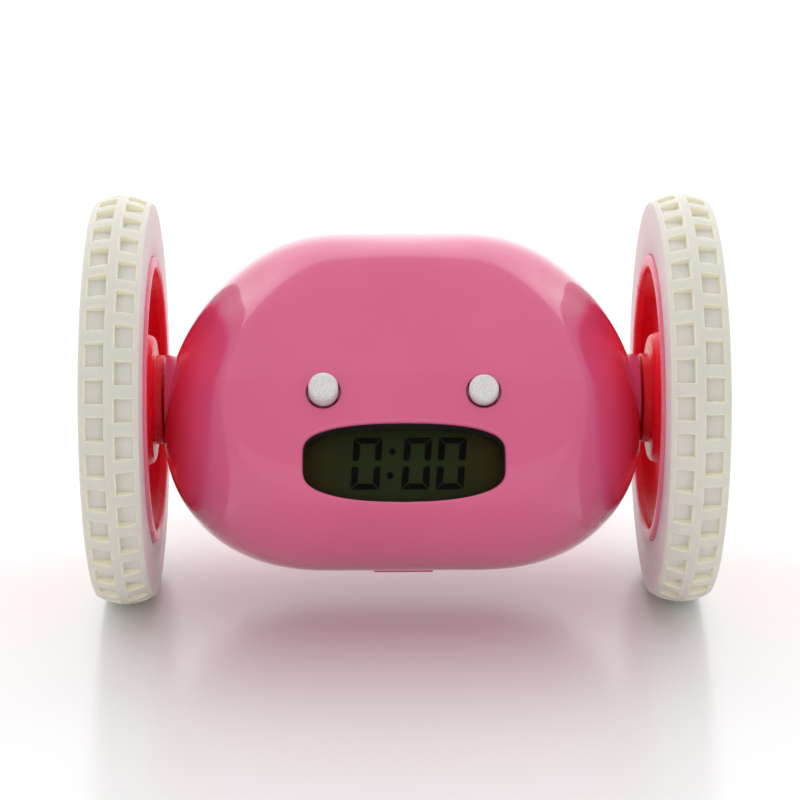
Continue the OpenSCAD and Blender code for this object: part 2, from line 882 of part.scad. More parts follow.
module middle_gear() {
    at_shaft(middle_at) {
        gear(wheel_teeth, 0, gear_pin_r + run_gap, first_x, first_x + 2.4);
        gear(pinion_teeth, pinion_turn, gear_pin_r + run_gap, first_x + 2.4, second_x + 3.4);
    }
}

module motor_pinion() {
    at_shaft(motor_at) gear(pinion_teeth, motor_turn, shaft_r, first_x - 0.3, first_x + 2.8);
}

module motor_shaft() {
    at_shaft(motor_at) rod_x(shaft_r, frame_x - 4, first_x + 2.8);
}

// A round can with two flats, its front boss, and a seat for the shaft
module motor() {
    x1 = frame_x;
    x0 = x1 - motor_long;
    at_shaft(motor_at) difference() {
        union() {
            intersection() {
                rod_x(motor_r, x0, x1);
                block([x0 - cut, -motor_r * 0.8, -motor_r], [x1 + cut, motor_r * 0.8, motor_r]);
            }
            rod_x(2.5, x0 - 1, x0);
            rod_x(2, x1, x1 + frame_t - 0.1);
        }
        rod_x(shaft_r + run_gap, x1 - 4.2, x1 + 4);
    }
}

// A circle of radius r round a shaft's place, on a plate's plane
module spot(place, r) {
    translate([-place[0], place[1]]) circle(r = r);
}

// A plate across X from x0 to x1 over the shape given
module plate(x0, x1) {
    face_frame() translate([x0, 0, 0]) rotate([90, 0, 90]) linear_extrude(x1 - x0) children();
}

gear_screw_places = [[-9.6, 9.6], [13, -2]];
gear_screw_r = 0.7;
module gear_frame() {
    difference() {
        union() {
            plate(frame_x, frame_x + frame_t) hull() {
                spot([0, 0], 5);
                spot(middle_at, 4);
                spot(motor_at, motor_r + 0.8);
                for (p = gear_screw_places) spot(p, 2.4);
            }
            for (p = gear_screw_places) at_shaft(p) rod_x(1.9, frame_x, cover_x);
        }
        at_shaft([0, 0]) rod_x(axle_r + run_gap, frame_x - cut, frame_x + frame_t + cut);
        at_shaft(middle_at) rod_x(gear_pin_r, frame_x - cut, frame_x + frame_t + cut);
        at_shaft(motor_at) rod_x(2 + fit, frame_x - cut, frame_x + frame_t + cut);
        for (p = gear_screw_places) at_shaft(p) rod_x(gear_screw_r, cover_x - 6, cover_x + cut);
    }
}

module gear_cover() {
    difference() {
        plate(cover_x, cover_x + frame_t) hull() {
            spot([0, 0], bush_r + 2);
            spot(middle_at, 2.6);
            for (p = gear_screw_places) spot(p, 2.4);
        }
        at_shaft([0, 0]) rod_x(bush_r + 0.5, cover_x - cut, cover_x + frame_t + cut);
        at_shaft(middle_at) rod_x(gear_pin_r, cover_x - cut, cover_x + frame_t + cut);
        for (p = gear_screw_places) at_shaft(p)
            rod_x(gear_screw_r + 0.3, cover_x - cut, cover_x + frame_t + cut);
    }
}

module right_motor() {
    color("silver") motor();
}

module left_motor() {
    color("silver") mirror([1, 0, 0]) motor();
}

module right_motor_shaft() {
    color("gray") motor_shaft();
}

module left_motor_shaft() {
    color("gray") mirror([1, 0, 0]) motor_shaft();
}

module right_motor_pinion() {
    color("gold") motor_pinion();
}

module left_motor_pinion() {
    color("gold") mirror([1, 0, 0]) motor_pinion();
}

module right_middle_gear() {
    color("ivory") middle_gear();
}

module left_middle_gear() {
    color("ivory") mirror([1, 0, 0]) middle_gear();
}

module right_axle_gear() {
    color("ivory") axle_gear();
}

module left_axle_gear() {
    color("ivory") mirror([1, 0, 0]) axle_gear();
}

module gear_pins() {
    color("gray")
    both_sides() at_shaft(middle_at) rod_x(gear_pin_r, frame_x, cover_x + frame_t);
}

module right_gear_frame() {
    color("#505860") gear_frame();
}

module left_gear_frame() {
    color("#505860") mirror([1, 0, 0]) gear_frame();
}

module right_gear_cover() {
    color("#505860") gear_cover();
}

module left_gear_cover() {
    color("#505860") mirror([1, 0, 0]) gear_cover();
}

// ---- wheels ----------------------------------------------------------------------------

boss_x = collar_x + 0.5;                   // inner end of the wheel's boss
web_x = tyre_x + 5;                        // inner face of the web

module axle() {
    at_axle() rod_x(axle_r, frame_x - 1, web_x + web_t + 2.5);
}

module bush() {
    at_axle() ring_x(axle_r + run_gap, bush_r, bush_x0, collar_x - 1.2);
}

// Rim, web and boss, turned round the axle
module wheel() {
    rim_in = rim_r - 2.6;
    lip_x = tyre_x - 0.65;     // inner edge of the rim's lip
    step_x = tyre_x - 0.1;     // inner face of the step round the boss
    at_axle() rotate([0, 90, 0]) rotate_extrude($fn = 96) polygon([
        [axle_r, boss_x], [collar_r, boss_x], [collar_r, step_x],
        [hub_step_r, step_x], [hub_step_r + 2, web_x - 0.6], [hub_step_r + 3.5, web_x],
        [rim_in - 4, web_x], [rim_in - 1.2, web_x - 1.6], [rim_in, web_x - 4],
        [rim_in, lip_x + 0.5], [rim_in + 0.5, lip_x], [rim_r - 0.8, lip_x + 0.1],
        [rim_r, tyre_x - 0.1], [rim_r, outer_x - 0.3], [rim_r - 0.8, outer_x + 0.0],
        [rim_in + 0.4, outer_x], [rim_in, outer_x - 0.5], [rim_in, outer_x - 3],
        [rim_in - 2, web_x + web_t], [hub_step_r - 2, web_x + web_t],
        [hub_step_r - 2, web_x + web_t + 2], [axle_r, web_x + web_t + 2]
    ]);
}

// Sidewalls with round shoulders, and the tread band with its two staggered rows of pockets
module tyre() {
    shoulder = tyre_r - tread_h;
    tread_x = outer_x - tread_w;
    edge_out = 1.4;    // plain edge of the tread outside the rows
    edge_in = 0.5;     // plain edge of the tread inside them
    row_out = outer_x - edge_out - pocket_wide;
    row_in = tread_x + edge_in;
    at_axle() rotate([0, 90, 0]) difference() {
        rotate_extrude($fn = 144) polygon([
            [rim_r, tyre_x + 0.3], [rim_r + 0.6, tyre_x], [shoulder - 1.6, tyre_x],
            [shoulder - 0.5, tyre_x + 0.3], [shoulder, tread_x],
            for (i = [-4:4]) let (out = tread_w / 8 * i)
                [tyre_r - tread_crown + sqrt(pow(tread_crown, 2) - pow(out, 2)),
                 outer_x - tread_w / 2 + out],
            [rim_r + 0.6, outer_x], [rim_r, outer_x - 0.3]
        ]);
        for (i = [0:tread_count - 1]) {
            rotate(360 * i / tread_count)
                translate([tyre_r - pocket_deep, -pocket_long / 2, row_out])
                    cube([pocket_deep + cut, pocket_long, pocket_wide]);
            rotate(360 * (i + 0.5) / tread_count)
                translate([tyre_r - pocket_deep, -pocket_long / 2, row_in])
                    cube([pocket_deep + cut, pocket_long, pocket_wide]);
        }
    }
}

// A shallow dome over the axle's end
module hub_cap() {
    cap_x = web_x + web_t + 2.6;
    at_axle() rotate([0, 90, 0]) rotate_extrude() polygon([
        [0, cap_x], [hub_step_r - 3.4, cap_x], [hub_step_r - 3.4, web_x + web_t + 2],
        [hub_step_r - 2, web_x + web_t + 2], [hub_step_r - 2, cap_x + 0.6],
        [hub_step_r - 3.2, cap_x + 1.2], [hub_step_r - 6.5, cap_x + 1.6], [0, cap_x + 1.8]
    ]);
}

module right_axle() {
    color("gray") axle();
}

module left_axle() {
    color("gray") mirror([1, 0, 0]) axle();
}

module right_bush() {
    color("ivory") bush();
}

module left_bush() {
    color("ivory") mirror([1, 0, 0]) bush();
}

module right_wheel() {
    color("crimson") wheel();
}

module left_wheel() {
    color("crimson") mirror([1, 0, 0]) wheel();
}

module right_tyre() {
    color("ivory") tyre();
}

module left_tyre() {
    color("ivory") mirror([1, 0, 0]) tyre();
}

module right_hub_cap() {
    color("hotpink") hub_cap();
}

module left_hub_cap() {
    color("hotpink") mirror([1, 0, 0]) hub_cap();
}

// ---- fasteners -------------------------------------------------------------------------

module case_screws() {
    color("silver")
    face_frame() both_sides() for (p = screw_places) {
        rod_y(p[0], p[1], screw_r - fit, 4 - screw_bite, head_y);
        rod_y(p[0], p[1], head_r, head_y, head_y + 1.4);
    }
}

module gearbox_screws() {
    color("silver")
    both_sides() for (p = gear_screw_places) at_shaft(p) {
        rod_x(gear_screw_r - fit, cover_x - 5, cover_x + frame_t);
        rod_x(2 * gear_screw_r, cover_x + frame_t, cover_x + frame_t + 1);
    }
}

module board_screws() {
    color("silver")
    face_frame() {
        both_sides() for (p = front_posts) {
            rod_y(p[0], p[1], board_screw_r - fit, front_board_y - board_bite + 1, front_board_y + board_t);
            rod_y(p[0], p[1], 2 * board_screw_r, front_board_y + board_t, front_board_y + board_t + 1);
        }
        both_sides() for (p = rear_posts) {
            rod_y(p[0], p[1], board_screw_r - fit, rear_board_y - board_t, rear_board_y + board_bite - 2);
            rod_y(p[0], p[1], 2 * board_screw_r, rear_board_y - board_t - 1, rear_board_y - board_t);
        }
    }
}

front_shell();
rear_shell();
battery_door();
display_window();
display_holder();
lcd_panel();
display_ribbon();
hour_button();
minute_button();
front_board();
front_switches();
board_chip();
rear_board();
rear_switches();
slide_switch_cases();
alarm_slider();
run_slider();
time_button();
alarm_button();
snooze_button();
speaker();
speaker_cone();
battery_tray();
battery_1();
battery_2();
battery_3();
battery_4();
battery_contacts();
right_motor();
left_motor();
right_motor_shaft();
left_motor_shaft();
right_motor_pinion();
left_motor_pinion();
right_middle_gear();
left_middle_gear();
right_axle_gear();
left_axle_gear();
gear_pins();
right_gear_frame();
left_gear_frame();
right_gear_cover();
left_gear_cover();
right_axle();
left_axle();
right_bush();
left_bush();
right_wheel();
left_wheel();
right_tyre();
left_tyre();
right_hub_cap();
left_hub_cap();
case_screws();
gearbox_screws();
board_screws();
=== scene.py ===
# %% [markdown]
# # An alarm clock that drives itself away
# The clock hangs between two big wheels. CAD already fixed where each part is and how it moves, so
# this script only gives the parts their looks: soft edges, glossy plastic, rubber tread and a display.
# Lengths are in millimetres while a piece is being made, and turn into metres when it is placed.

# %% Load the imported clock
import json
import math
from functools import partial

import bmesh
import bpy
import numpy as np
from mathutils import Matrix, Vector


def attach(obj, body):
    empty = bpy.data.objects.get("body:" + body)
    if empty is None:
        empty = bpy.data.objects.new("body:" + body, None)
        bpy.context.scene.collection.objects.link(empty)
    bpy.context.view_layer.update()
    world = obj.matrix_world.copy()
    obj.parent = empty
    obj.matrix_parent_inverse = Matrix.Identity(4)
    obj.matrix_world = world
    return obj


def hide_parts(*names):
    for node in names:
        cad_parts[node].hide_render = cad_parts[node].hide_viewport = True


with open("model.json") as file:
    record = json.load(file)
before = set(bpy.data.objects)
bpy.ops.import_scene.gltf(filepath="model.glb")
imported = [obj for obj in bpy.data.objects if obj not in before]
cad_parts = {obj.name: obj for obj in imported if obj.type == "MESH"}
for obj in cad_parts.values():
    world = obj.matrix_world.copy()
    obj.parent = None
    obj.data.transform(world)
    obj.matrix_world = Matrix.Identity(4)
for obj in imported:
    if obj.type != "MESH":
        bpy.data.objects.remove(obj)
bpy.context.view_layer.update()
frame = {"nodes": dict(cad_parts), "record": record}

# %% [markdown]
# ## Where things are
# The axle runs along X. The face leans back by 38 degrees, and the display in it leans forward again
# by 8, so most pieces are easiest to describe in the face's own frame: -Y points out of the face and
# +Z runs up it. A frame is only a matrix, and every piece is multiplied by one at the end.

# %% Frames and main sizes
mm = 0.001
tyre_r, tyre_x, tyre_w, rim_r = 44.5, 54.0, 12.2, 31.3
outer_x = tyre_x + tyre_w
collar_r, collar_x, bush_x = 9.7, 51.4, 44.0
half_w, reach, rise, flat, taper, wall = 51.8, 43.5, 36.5, 14.0, 0.11, 1.8
face_out, crown_r, side_r, crown_z = 32.3, 150.0, 600.0, -10.0
face_tilt, display_lean, battery_lean = math.radians(38), math.radians(8), math.radians(9)

face_turn = Matrix.Rotation(-face_tilt, 4, "X")
battery_turn = Matrix.Rotation(battery_lean, 4, "X")
axle = Matrix.Translation((0, 0, tyre_r * mm))
face = axle @ face_turn
display = face @ Matrix.Rotation(display_lean, 4, "X")

face_out_turn = Matrix.Rotation(math.radians(-90), 4, "Z")  # +X becomes -Y, out of the face
face_in_turn = Matrix.Rotation(math.radians(90), 4, "Z")  # +X becomes +Y, out of the back
print("the face points", [round(v, 3) for v in (face.to_3x3() @ Vector((0, -1, 0)))])

# %% [markdown]
# ## The camera
# The photograph was taken from a little above, almost straight on, with a long lens. A long lens
# keeps the two wheels nearly the same size, so the distance matters as much as the angle.

# %% Camera
azimuth, elevation = math.radians(-0.8), math.radians(18)
back = Vector((math.sin(azimuth) * math.cos(elevation),
               -math.cos(azimuth) * math.cos(elevation), math.sin(elevation)))
distance, focal_px, picture_px = 560 * mm, 2559, 800
across = Vector((math.cos(azimuth), math.sin(azimuth), 0))
upward = back.cross(across)
centre = Vector((0, 0, tyre_r * mm))
px = distance / focal_px  # what one pixel spans at the clock
aim = centre - across * (2.4 * px) - upward * (1.4 * px)
eye = bpy.data.cameras.new("camera")
eye.sensor_width = 36
eye.lens = eye.sensor_width * focal_px / picture_px
camera = bpy.data.objects.new("camera", eye)
camera.location = centre + back * distance
camera.rotation_mode = "QUATERNION"
camera.rotation_quaternion = (aim - camera.location).to_track_quat("-Z", "Y")
bpy.context.scene.collection.objects.link(camera)
bpy.context.scene.camera = camera
print("lens", round(eye.lens, 1), "mm at", round(distance * 1000), "mm")

# %% [markdown]
# ## Writing shaders as sums
# A shader is a graph of nodes, but its maths reads better as a formula. `Wire` wraps one output
# socket, so `wire * 2 + 1` adds two Math nodes. `Finish` owns a material and makes any other node.

# %% Shader helpers
class Wire:
    """One output socket; Python's operators on it add Math nodes."""

    def __init__(self, finish, socket):
        self.finish, self.socket = finish, socket

    def maths(self, operation, other):
        return self.finish.node("Math", {"operation": operation}, {0: self, 1: other})

    def __add__(self, other):
        return self.maths("ADD", other)

    def __sub__(self, other):
        return self.maths("SUBTRACT", other)

    def __mul__(self, other):
        return self.maths("MULTIPLY", other)

    def __pow__(self, other):
        return self.maths("POWER", other)

    def rises(self, low, high):
        """0 below low, 1 above high, smooth between."""
        return self.finish.node("MapRange", {"interpolation_type": "SMOOTHSTEP"},
                                {0: self, 1: low, 2: high, 3: 0.0, 4: 1.0})


class Finish:
    """A material with one Principled shader, whose nodes are added by name."""

    def __init__(self, name, **constants):
        self.material = bpy.data.materials.new(name)
        self.material.use_nodes = True
        self.tree = self.material.node_tree
        self.shader = self.tree.nodes["Principled BSDF"]
        self.end = self.tree.nodes["Material Output"]
        for key, value in constants.items():
            self.shader.inputs[key.replace("_", " ")].default_value = value
        self.place = self.node("TexCoord", {}, {}, "Object")

    def node(self, kind, settings, inputs, output=0):
        made = self.tree.nodes.new("ShaderNode" + kind)
        for key, value in settings.items():
            setattr(made, key, value)
        for key, value in inputs.items():
            self.plug(made.inputs[key], value)
        return Wire(self, made.outputs[output])

    def plug(self, socket, value):
        if isinstance(value, Wire):
            self.tree.links.new(value.socket, socket)
        elif socket.type == "RGBA":
            socket.default_value = (*value, 1)
        else:
            socket.default_value = value

    def give(self, **sockets):
        for key, value in sockets.items():
            self.plug(self.shader.inputs[key.replace("_", " ")], value)
        return self

    def noise(self, scale, detail, roughness=0.5, stretch=None):
        where = self.place
        if stretch:
            where = self.node("Mapping", {}, {"Vector": where, "Scale": stretch})
        return self.node("TexNoise", {}, {"Vector": where, "Scale": scale, "Detail": detail,
                                          "Roughness": roughness})

    def blend(self, share, first, second):
        return self.node("Mix", {"data_type": "RGBA"}, {0: share, 6: first, 7: second}, 2)

    def bump(self, height, strength, depth):
        return self.node("Bump", {}, {"Strength": strength, "Distance": depth, "Height": height})

    def axis(self, name):
        return self.node("SeparateXYZ", {}, {0: self.place}, name)

    def from_axle(self):
        """How far a point is from the axle."""
        y, up = self.axis("Y"), self.axis("Z") - tyre_r * mm
        return (y * y + up * up) ** 0.5


print("shader helpers ready")

# %% [markdown]
# ## Glossy pink plastic
# The case is injection moulded: one even colour, a polished mould, and only the faint waviness that
# shrinking plastic leaves. So the colour hardly varies, the roughness varies a little, and a very
# shallow, wide bump bends the reflections slightly. The wheels are redder and their plastic lets some
# light through. The lip of the rim is painted paler: painted light that stands in for its gloss and
# for the light shining through its thin plastic.

# %% Case plastic and wheel plastic
def moulded(name, deep, pale, roughness, wave, grain, **constants):
    made = Finish(name, **constants)
    cloud = made.noise(35.0, 3.0)
    fine = made.noise(900.0, 2.0)
    haze = made.noise(140.0, 4.0)
    colour = made.blend(cloud.rises(0.3, 0.7), deep, pale)
    height = cloud * wave + fine * grain
    return made.give(Base_Color=colour, Roughness=haze * 0.10 + (roughness - 0.05),
                     Normal=made.bump(height, 1.0, 0.0004))


case_pink = moulded("case plastic", (0.66, 0.085, 0.215), (0.69, 0.095, 0.230), 0.17, 0.015, 0.003,
                    Coat_Weight=1.0, Coat_Roughness=0.02, Specular_IOR_Level=0.3)


def wheel_plastic():
    made = moulded("wheel plastic", (0.92, 0.012, 0.030), (0.96, 0.015, 0.036), 0.28, 0.015, 0.004,
                   Specular_IOR_Level=0.12, Subsurface_Weight=1.0, Subsurface_Scale=0.008,
                   Subsurface_Radius=(1.0, 0.15, 0.15))
    # painted light: the lip of the rim gets a paler colour that stands in for its gloss and for the
    # light shining through its thin plastic
    lip_light_mask = made.from_axle().rises((rim_r - 2.7) * mm, (rim_r - 2.3) * mm)
    red = made.shader.inputs["Base Color"].links[0].from_socket
    return made.give(Base_Color=made.blend(lip_light_mask, Wire(made, red), (0.90, 0.20, 0.30)))


wheel_pink = wheel_plastic()
print("plastics:", case_pink.material.name, wheel_pink.material.name)

# %% [markdown]
# ## Ivory tyre rubber
# Soft, slightly see-through rubber, white, with a yellow tint on the walls of the tread pockets that is
# painted shade: it stands in for the shade in the pockets as it looks through the rubber. The tyre's
# mesh marks those walls with a number on its faces, called pocket, and the material reads it back.
# The distance from the axle tells the tread from the smooth sidewall.

# %% Tyre rubber
def tyre_rubber():
    made = Finish("tyre rubber", Specular_IOR_Level=0.3, Subsurface_Weight=0.6,
                  Subsurface_Scale=0.0022, Subsurface_Radius=(1.0, 0.9, 0.6))
    tread = made.from_axle().rises(42.5 * mm, 42.8 * mm)
    pocket = made.node("Attribute", {"attribute_name": "pocket"}, {}, "Fac")
    cloud = made.noise(60.0, 4.0)
    speck = made.noise(1500.0, 3.0)
    side = made.blend(cloud, (0.76, 0.73, 0.71), (0.82, 0.79, 0.77))
    band = made.blend(cloud, (0.67, 0.655, 0.59), (0.73, 0.71, 0.645))
    colour = made.blend(tread, side, band)
    # painted shade: the pocket walls turn yellow, standing in for the shade in the pockets seen through
    # the rubber
    colour = made.blend(pocket * 0.8, colour, (0.86, 0.83, 0.66))
    return made.give(Base_Color=colour, Roughness=speck * 0.18 + 0.40,
                     Normal=made.bump(speck * 0.4 + cloud * 0.5, 0.35, 0.0002))


tyre_white = tyre_rubber()
print("rubber:", tyre_white.material.name)

# %% [markdown]
# ## White buttons, the display and its window
# The two eye buttons have a finely textured cap. The display glass is a dark olive with almost black
# segments; towards its sides it turns browner, which is a painted reflection. The clear window over it
# reflects a little, which Fresnel does: it shows more of the gloss where one looks along the surface.

# %% Buttons, display and window
def button_plastic():
    made = Finish("button plastic", Specular_IOR_Level=0.4)
    speck = made.noise(2200.0, 2.0)
    cloud = made.noise(300.0, 2.0)
    colour = made.blend(speck.rises(0.3, 0.7), (0.62, 0.605, 0.58), (0.76, 0.745, 0.72))
    return made.give(Base_Color=colour, Roughness=cloud * 0.2 + 0.32,
                     Normal=made.bump(speck, 0.3, 0.0001))


def display_cell():
    made = Finish("display cell", Specular_IOR_Level=0.04)
    cloud, x = made.noise(90.0, 3.0), made.axis("X")
    side = (x * x) ** 0.5
    # painted reflection: the glass turns browner towards both sides
    edge = side.rises(8 * mm, 22 * mm) + cloud * 0.25
    colour = made.blend(edge, (0.024, 0.035, 0.0135), (0.046, 0.032, 0.0110))
    return made.give(Base_Color=colour, Roughness=cloud * 0.1 + 0.3)


def segment_ink():
    made = Finish("segment ink", Specular_IOR_Level=0.02)
    cloud = made.noise(500.0, 2.0)
    colour = made.blend(cloud, (0.0036, 0.0030, 0.0032), (0.0050, 0.0043, 0.0045))
    return made.give(Base_Color=colour, Roughness=cloud * 0.1 + 0.35)


def clear_window():
    made = Finish("window plastic")
    haze = made.noise(200.0, 2.0)
    see = made.node("BsdfTransparent", {}, {"Color": (0.93, 0.94, 0.91)})
    gloss = made.node("BsdfGlossy", {}, {"Color": (0.9, 0.9, 0.9), "Roughness": 0.04})
    amount = made.node("Fresnel", {}, {"IOR": 1.38}) * (haze * 0.01 + 0.02)
    mixed = made.node("MixShader", {}, {0: amount, 1: see, 2: gloss})
    made.plug(made.end.inputs["Surface"], mixed)
    made.tree.nodes.remove(made.shader)
    return made


button_white, display_olive = button_plastic(), display_cell()
ink, window_clear = segment_ink(), clear_window()
print("display finishes:", display_olive.material.name, ink.material.name, window_clear.material.name)

# %% [markdown]
# ## What hides inside
# The works only show when the battery door is open or a piece is taken off, yet each still gets a
# real finish: matt dark plastic, green board with tracks, brushed steel, brass and printed cells.

# %% Finishes of the works
def matt(name, deep, pale, roughness, scale=400.0):
    made = Finish(name, Specular_IOR_Level=0.4)
    speck = made.noise(scale, 3.0)
    return made.give(Base_Color=made.blend(speck, deep, pale), Roughness=speck * 0.15 + roughness,
                     Normal=made.bump(speck, 0.3, 0.0001))


def metal(name, deep, pale, roughness):
    made = Finish(name, Metallic=1.0)
    brushed = made.noise(120.0, 3.0, 0.6, (1.0, 12.0, 12.0))
    return made.give(Base_Color=made.blend(brushed, deep, pale), Roughness=brushed * 0.25 + roughness,
                     Normal=made.bump(brushed, 0.2, 0.00005))


def circuit():
    made = Finish("circuit board", Specular_IOR_Level=0.5)
    wander = made.noise(160.0, 1.0)
    tracks = made.node("TexWave", {"bands_direction": "X"},
                       {"Vector": made.place, "Scale": 140.0, "Distortion": 2.5, "Detail": 0.0})
    lines = tracks.rises(0.75, 0.85) * wander.rises(0.45, 0.5)
    colour = made.blend(lines, (0.012, 0.16, 0.06), (0.03, 0.30, 0.12))
    return made.give(Base_Color=colour, Roughness=wander * 0.1 + 0.25,
                     Normal=made.bump(lines, 0.4, 0.0001))


def cell_wrap():
    made = Finish("cell wrap", Specular_IOR_Level=0.5)
    x = made.axis("X")
    side = (x * x) ** 0.5
    cap = side.rises(20.6 * mm, 20.9 * mm)
    scuff = made.noise(300.0, 4.0)
    band = x.rises(6 * mm, 6.3 * mm)
    colour = made.blend(band, (0.035, 0.035, 0.04), (0.75, 0.42, 0.05))
    colour = made.blend(cap, colour, (0.62, 0.61, 0.60))
    return made.give(Base_Color=colour, Metallic=cap, Roughness=scuff * 0.15 + 0.22)


def flat_ribbon():
    made = Finish("flat ribbon", Specular_IOR_Level=0.5)
    stripes = made.node("TexWave", {"bands_direction": "X"}, {"Vector": made.place, "Scale": 500.0})
    colour = made.blend(stripes.rises(0.4, 0.6), (0.50, 0.22, 0.05), (0.72, 0.40, 0.14))
    return made.give(Base_Color=colour, Roughness=stripes * 0.1 + 0.3)


dark_plastic = matt("dark plastic parts", (0.010, 0.010, 0.012), (0.018, 0.018, 0.020), 0.40)
# painted shade: a dark liner for the window's recess, standing in for the shade there
liner_and_shade_rubber = matt("gasket rubber", (0.006, 0.004, 0.003), (0.010, 0.006, 0.005), 0.60)
gear_plastic = matt("gear plastic parts", (0.70, 0.67, 0.55), (0.80, 0.77, 0.66), 0.30)
frame_plastic = matt("frame plastic parts", (0.060, 0.068, 0.080), (0.085, 0.095, 0.108), 0.42)
cone_paper = matt("cone paper parts", (0.014, 0.014, 0.015), (0.030, 0.030, 0.032), 0.70, 1500.0)
steel = metal("brushed steel", (0.52, 0.52, 0.54), (0.68, 0.68, 0.70), 0.22)
brass = metal("brushed brass", (0.60, 0.42, 0.14), (0.74, 0.56, 0.22), 0.22)
board_green, battery_wrap, ribbon = circuit(), cell_wrap(), flat_ribbon()
print("works:", [f.material.name for f in (dark_plastic, gear_plastic, steel, brass, board_green)])

# %% [markdown]
# Each CAD node keeps the finish of its own slot in the record, so a node that stays in the picture
# is painted by looking its slot up in one table.

# %% Paint the CAD nodes
finish_of_slot = {
    "case_pink": case_pink, "wheel_red": wheel_pink, "tyre_white": tyre_white,
    "button_white": button_white, "clear_window": window_clear, "display_glass": display_olive,
    "dark_plastic": dark_plastic, "gear_plastic": gear_plastic, "frame_plastic": frame_plastic,
    "board_green": board_green, "ribbon": ribbon, "steel": steel, "brass": brass,
    "battery_wrap": battery_wrap, "cone_paper": cone_paper,
}
for part in frame["record"]["subparts"]:
    node = frame["nodes"][part["node"]]
    node.data.materials.clear()
    node.data.materials.append(finish_of_slot[part["material_slot"]].material)

# %% [markdown]
# ## Making and placing a piece
# Every piece is built in millimetres in a bmesh, then scaled to metres and moved by its frame. The
# finished object itself stays at the origin, unturned, so that patterns on Object coordinates stay put.

# %% Place a piece
def settle(bm, place):
    """From millimetres in a frame to metres in the world."""
    bmesh.ops.transform(bm, matrix=place @ Matrix.Scale(mm, 4), verts=bm.verts)
    return bm


def piece(name, bm, body, finish, stands_for=(), sharp=35.0):
    mesh = bpy.data.meshes.new(name)
    bm.to_mesh(mesh)
    bm.free()
    mesh.shade_smooth()
    mesh.set_sharp_from_angle(angle=math.radians(sharp))
    mesh.materials.append(finish.material)
    made = bpy.data.objects.new(name, mesh)
    bpy.context.scene.collection.objects.link(made)
    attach(made, body)
    if stands_for:
        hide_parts(*stands_for)
    print(f"{name}: {len(mesh.polygons)} faces")
    return made


def soften(bm, edges, radius, segments=3):
    """Rounds edges."""
    bmesh.ops.bevel(bm, geom=edges, offset=radius, offset_type="OFFSET", segments=segments,
                    profile=0.5, affect="EDGES", material=-1, clamp_overlap=True)


def faced(bm):
    """Turns the normals of all faces outward."""
    bm.normal_update()
    bmesh.ops.recalc_face_normals(bm, faces=bm.faces)
    return bm


def trim(bm, point, normal):
    """Takes away what is beyond a plane."""
    bmesh.ops.bisect_plane(bm, geom=bm.verts[:] + bm.edges[:] + bm.faces[:], dist=1e-4,
                           plane_co=point, plane_no=normal, clear_outer=True)


def turn(bm, matrix):
    bmesh.ops.transform(bm, matrix=matrix, verts=bm.verts)
    return bm


def add(bm, other):
    """Puts another bmesh into this one."""
    mesh = bpy.data.meshes.new("part")
    other.to_mesh(mesh)
    other.free()
    bm.from_mesh(mesh)
    bpy.data.meshes.remove(mesh)
    return bm


# %% [markdown]
# ## Turned pieces
# Wheels, caps, tyres and buttons are round, so each starts as half a cross section that is spun
# about the X axis. The corners are rounded afterwards: a bevel on a whole ring of edges is what a
# mould maker's fillet looks like.

# %% Turned pieces
def turned(outline, steps=128, soft=()):
    """Spins (along, radius) points about X. soft lists (point number, fillet radius)."""
    bm = bmesh.new()
    chain = [bm.verts.new((x, 0, r)) for x, r in outline]
    for first, second in zip(chain, chain[1:] + chain[:1]):
        if first.co.z > 0 or second.co.z > 0:
            bm.edges.new((first, second))
    bmesh.ops.spin(bm, geom=bm.verts[:] + bm.edges[:], cent=(0, 0, 0), axis=(1, 0, 0),
                   angle=2 * math.pi, steps=steps, use_merge=True)
    bmesh.ops.remove_doubles(bm, verts=bm.verts, dist=1e-4)
    for number, radius in soft:
        x, r = outline[number]
        ring = [e for e in bm.edges if all(abs(v.co.x - x) < 1e-4 and
                abs(math.hypot(v.co.y, v.co.z) - r) < 1e-3 for v in e.verts)]
        soften(bm, ring, radius, 4)
    return faced(bm)


def mirrored(bm):
    """Right becomes left."""
    bmesh.ops.scale(bm, vec=(-1, 1, 1), verts=bm.verts)
    return faced(bm)


# %% [markdown]
# ## The wheels
# Seen from the middle, a wheel is a pink lip, a deep dish, and a wide boss that stops just short of
# the body's collar. The outer side isn't in the photograph; it gets a plain web and a domed cap.

# %% Wheels and hub caps
boss_x, web_x, web_t, step_r = collar_x + 0.5, tyre_x + 5, 2.2, 13.6
rim_in, lip_x, step_x = rim_r - 2.6, tyre_x - 0.65, tyre_x - 0.1
wheel_outline = [
    (boss_x, 1.5), (boss_x, collar_r), (step_x, collar_r), (step_x, step_r),
    (web_x - 0.6, step_r + 2.0), (web_x, step_r + 3.5), (web_x, rim_in - 4),
    (web_x - 1.6, rim_in - 1.2), (web_x - 4, rim_in), (lip_x, rim_in), (lip_x, rim_r - 0.1),
    (outer_x, rim_r - 0.1), (outer_x, rim_in), (outer_x - 3, rim_in), (web_x + web_t, rim_in - 2),
    (web_x + web_t, step_r - 2), (web_x + web_t + 2, step_r - 2), (web_x + web_t + 2, 1.5),
]
wheel_soft = [(1, 0.3), (2, 0.5), (3, 0.8), (9, 0.7), (10, 0.7), (11, 0.5), (12, 0.4)]
cap_x = web_x + web_t + 2.6
cap_outline = [
    (cap_x, 0), (cap_x, step_r - 3.4), (web_x + web_t + 2, step_r - 3.4),
    (web_x + web_t + 2, step_r - 2), (cap_x + 0.6, step_r - 2), (cap_x + 1.2, step_r - 3.2),
    (cap_x + 1.6, step_r - 6.5), (cap_x + 1.8, 0),
]
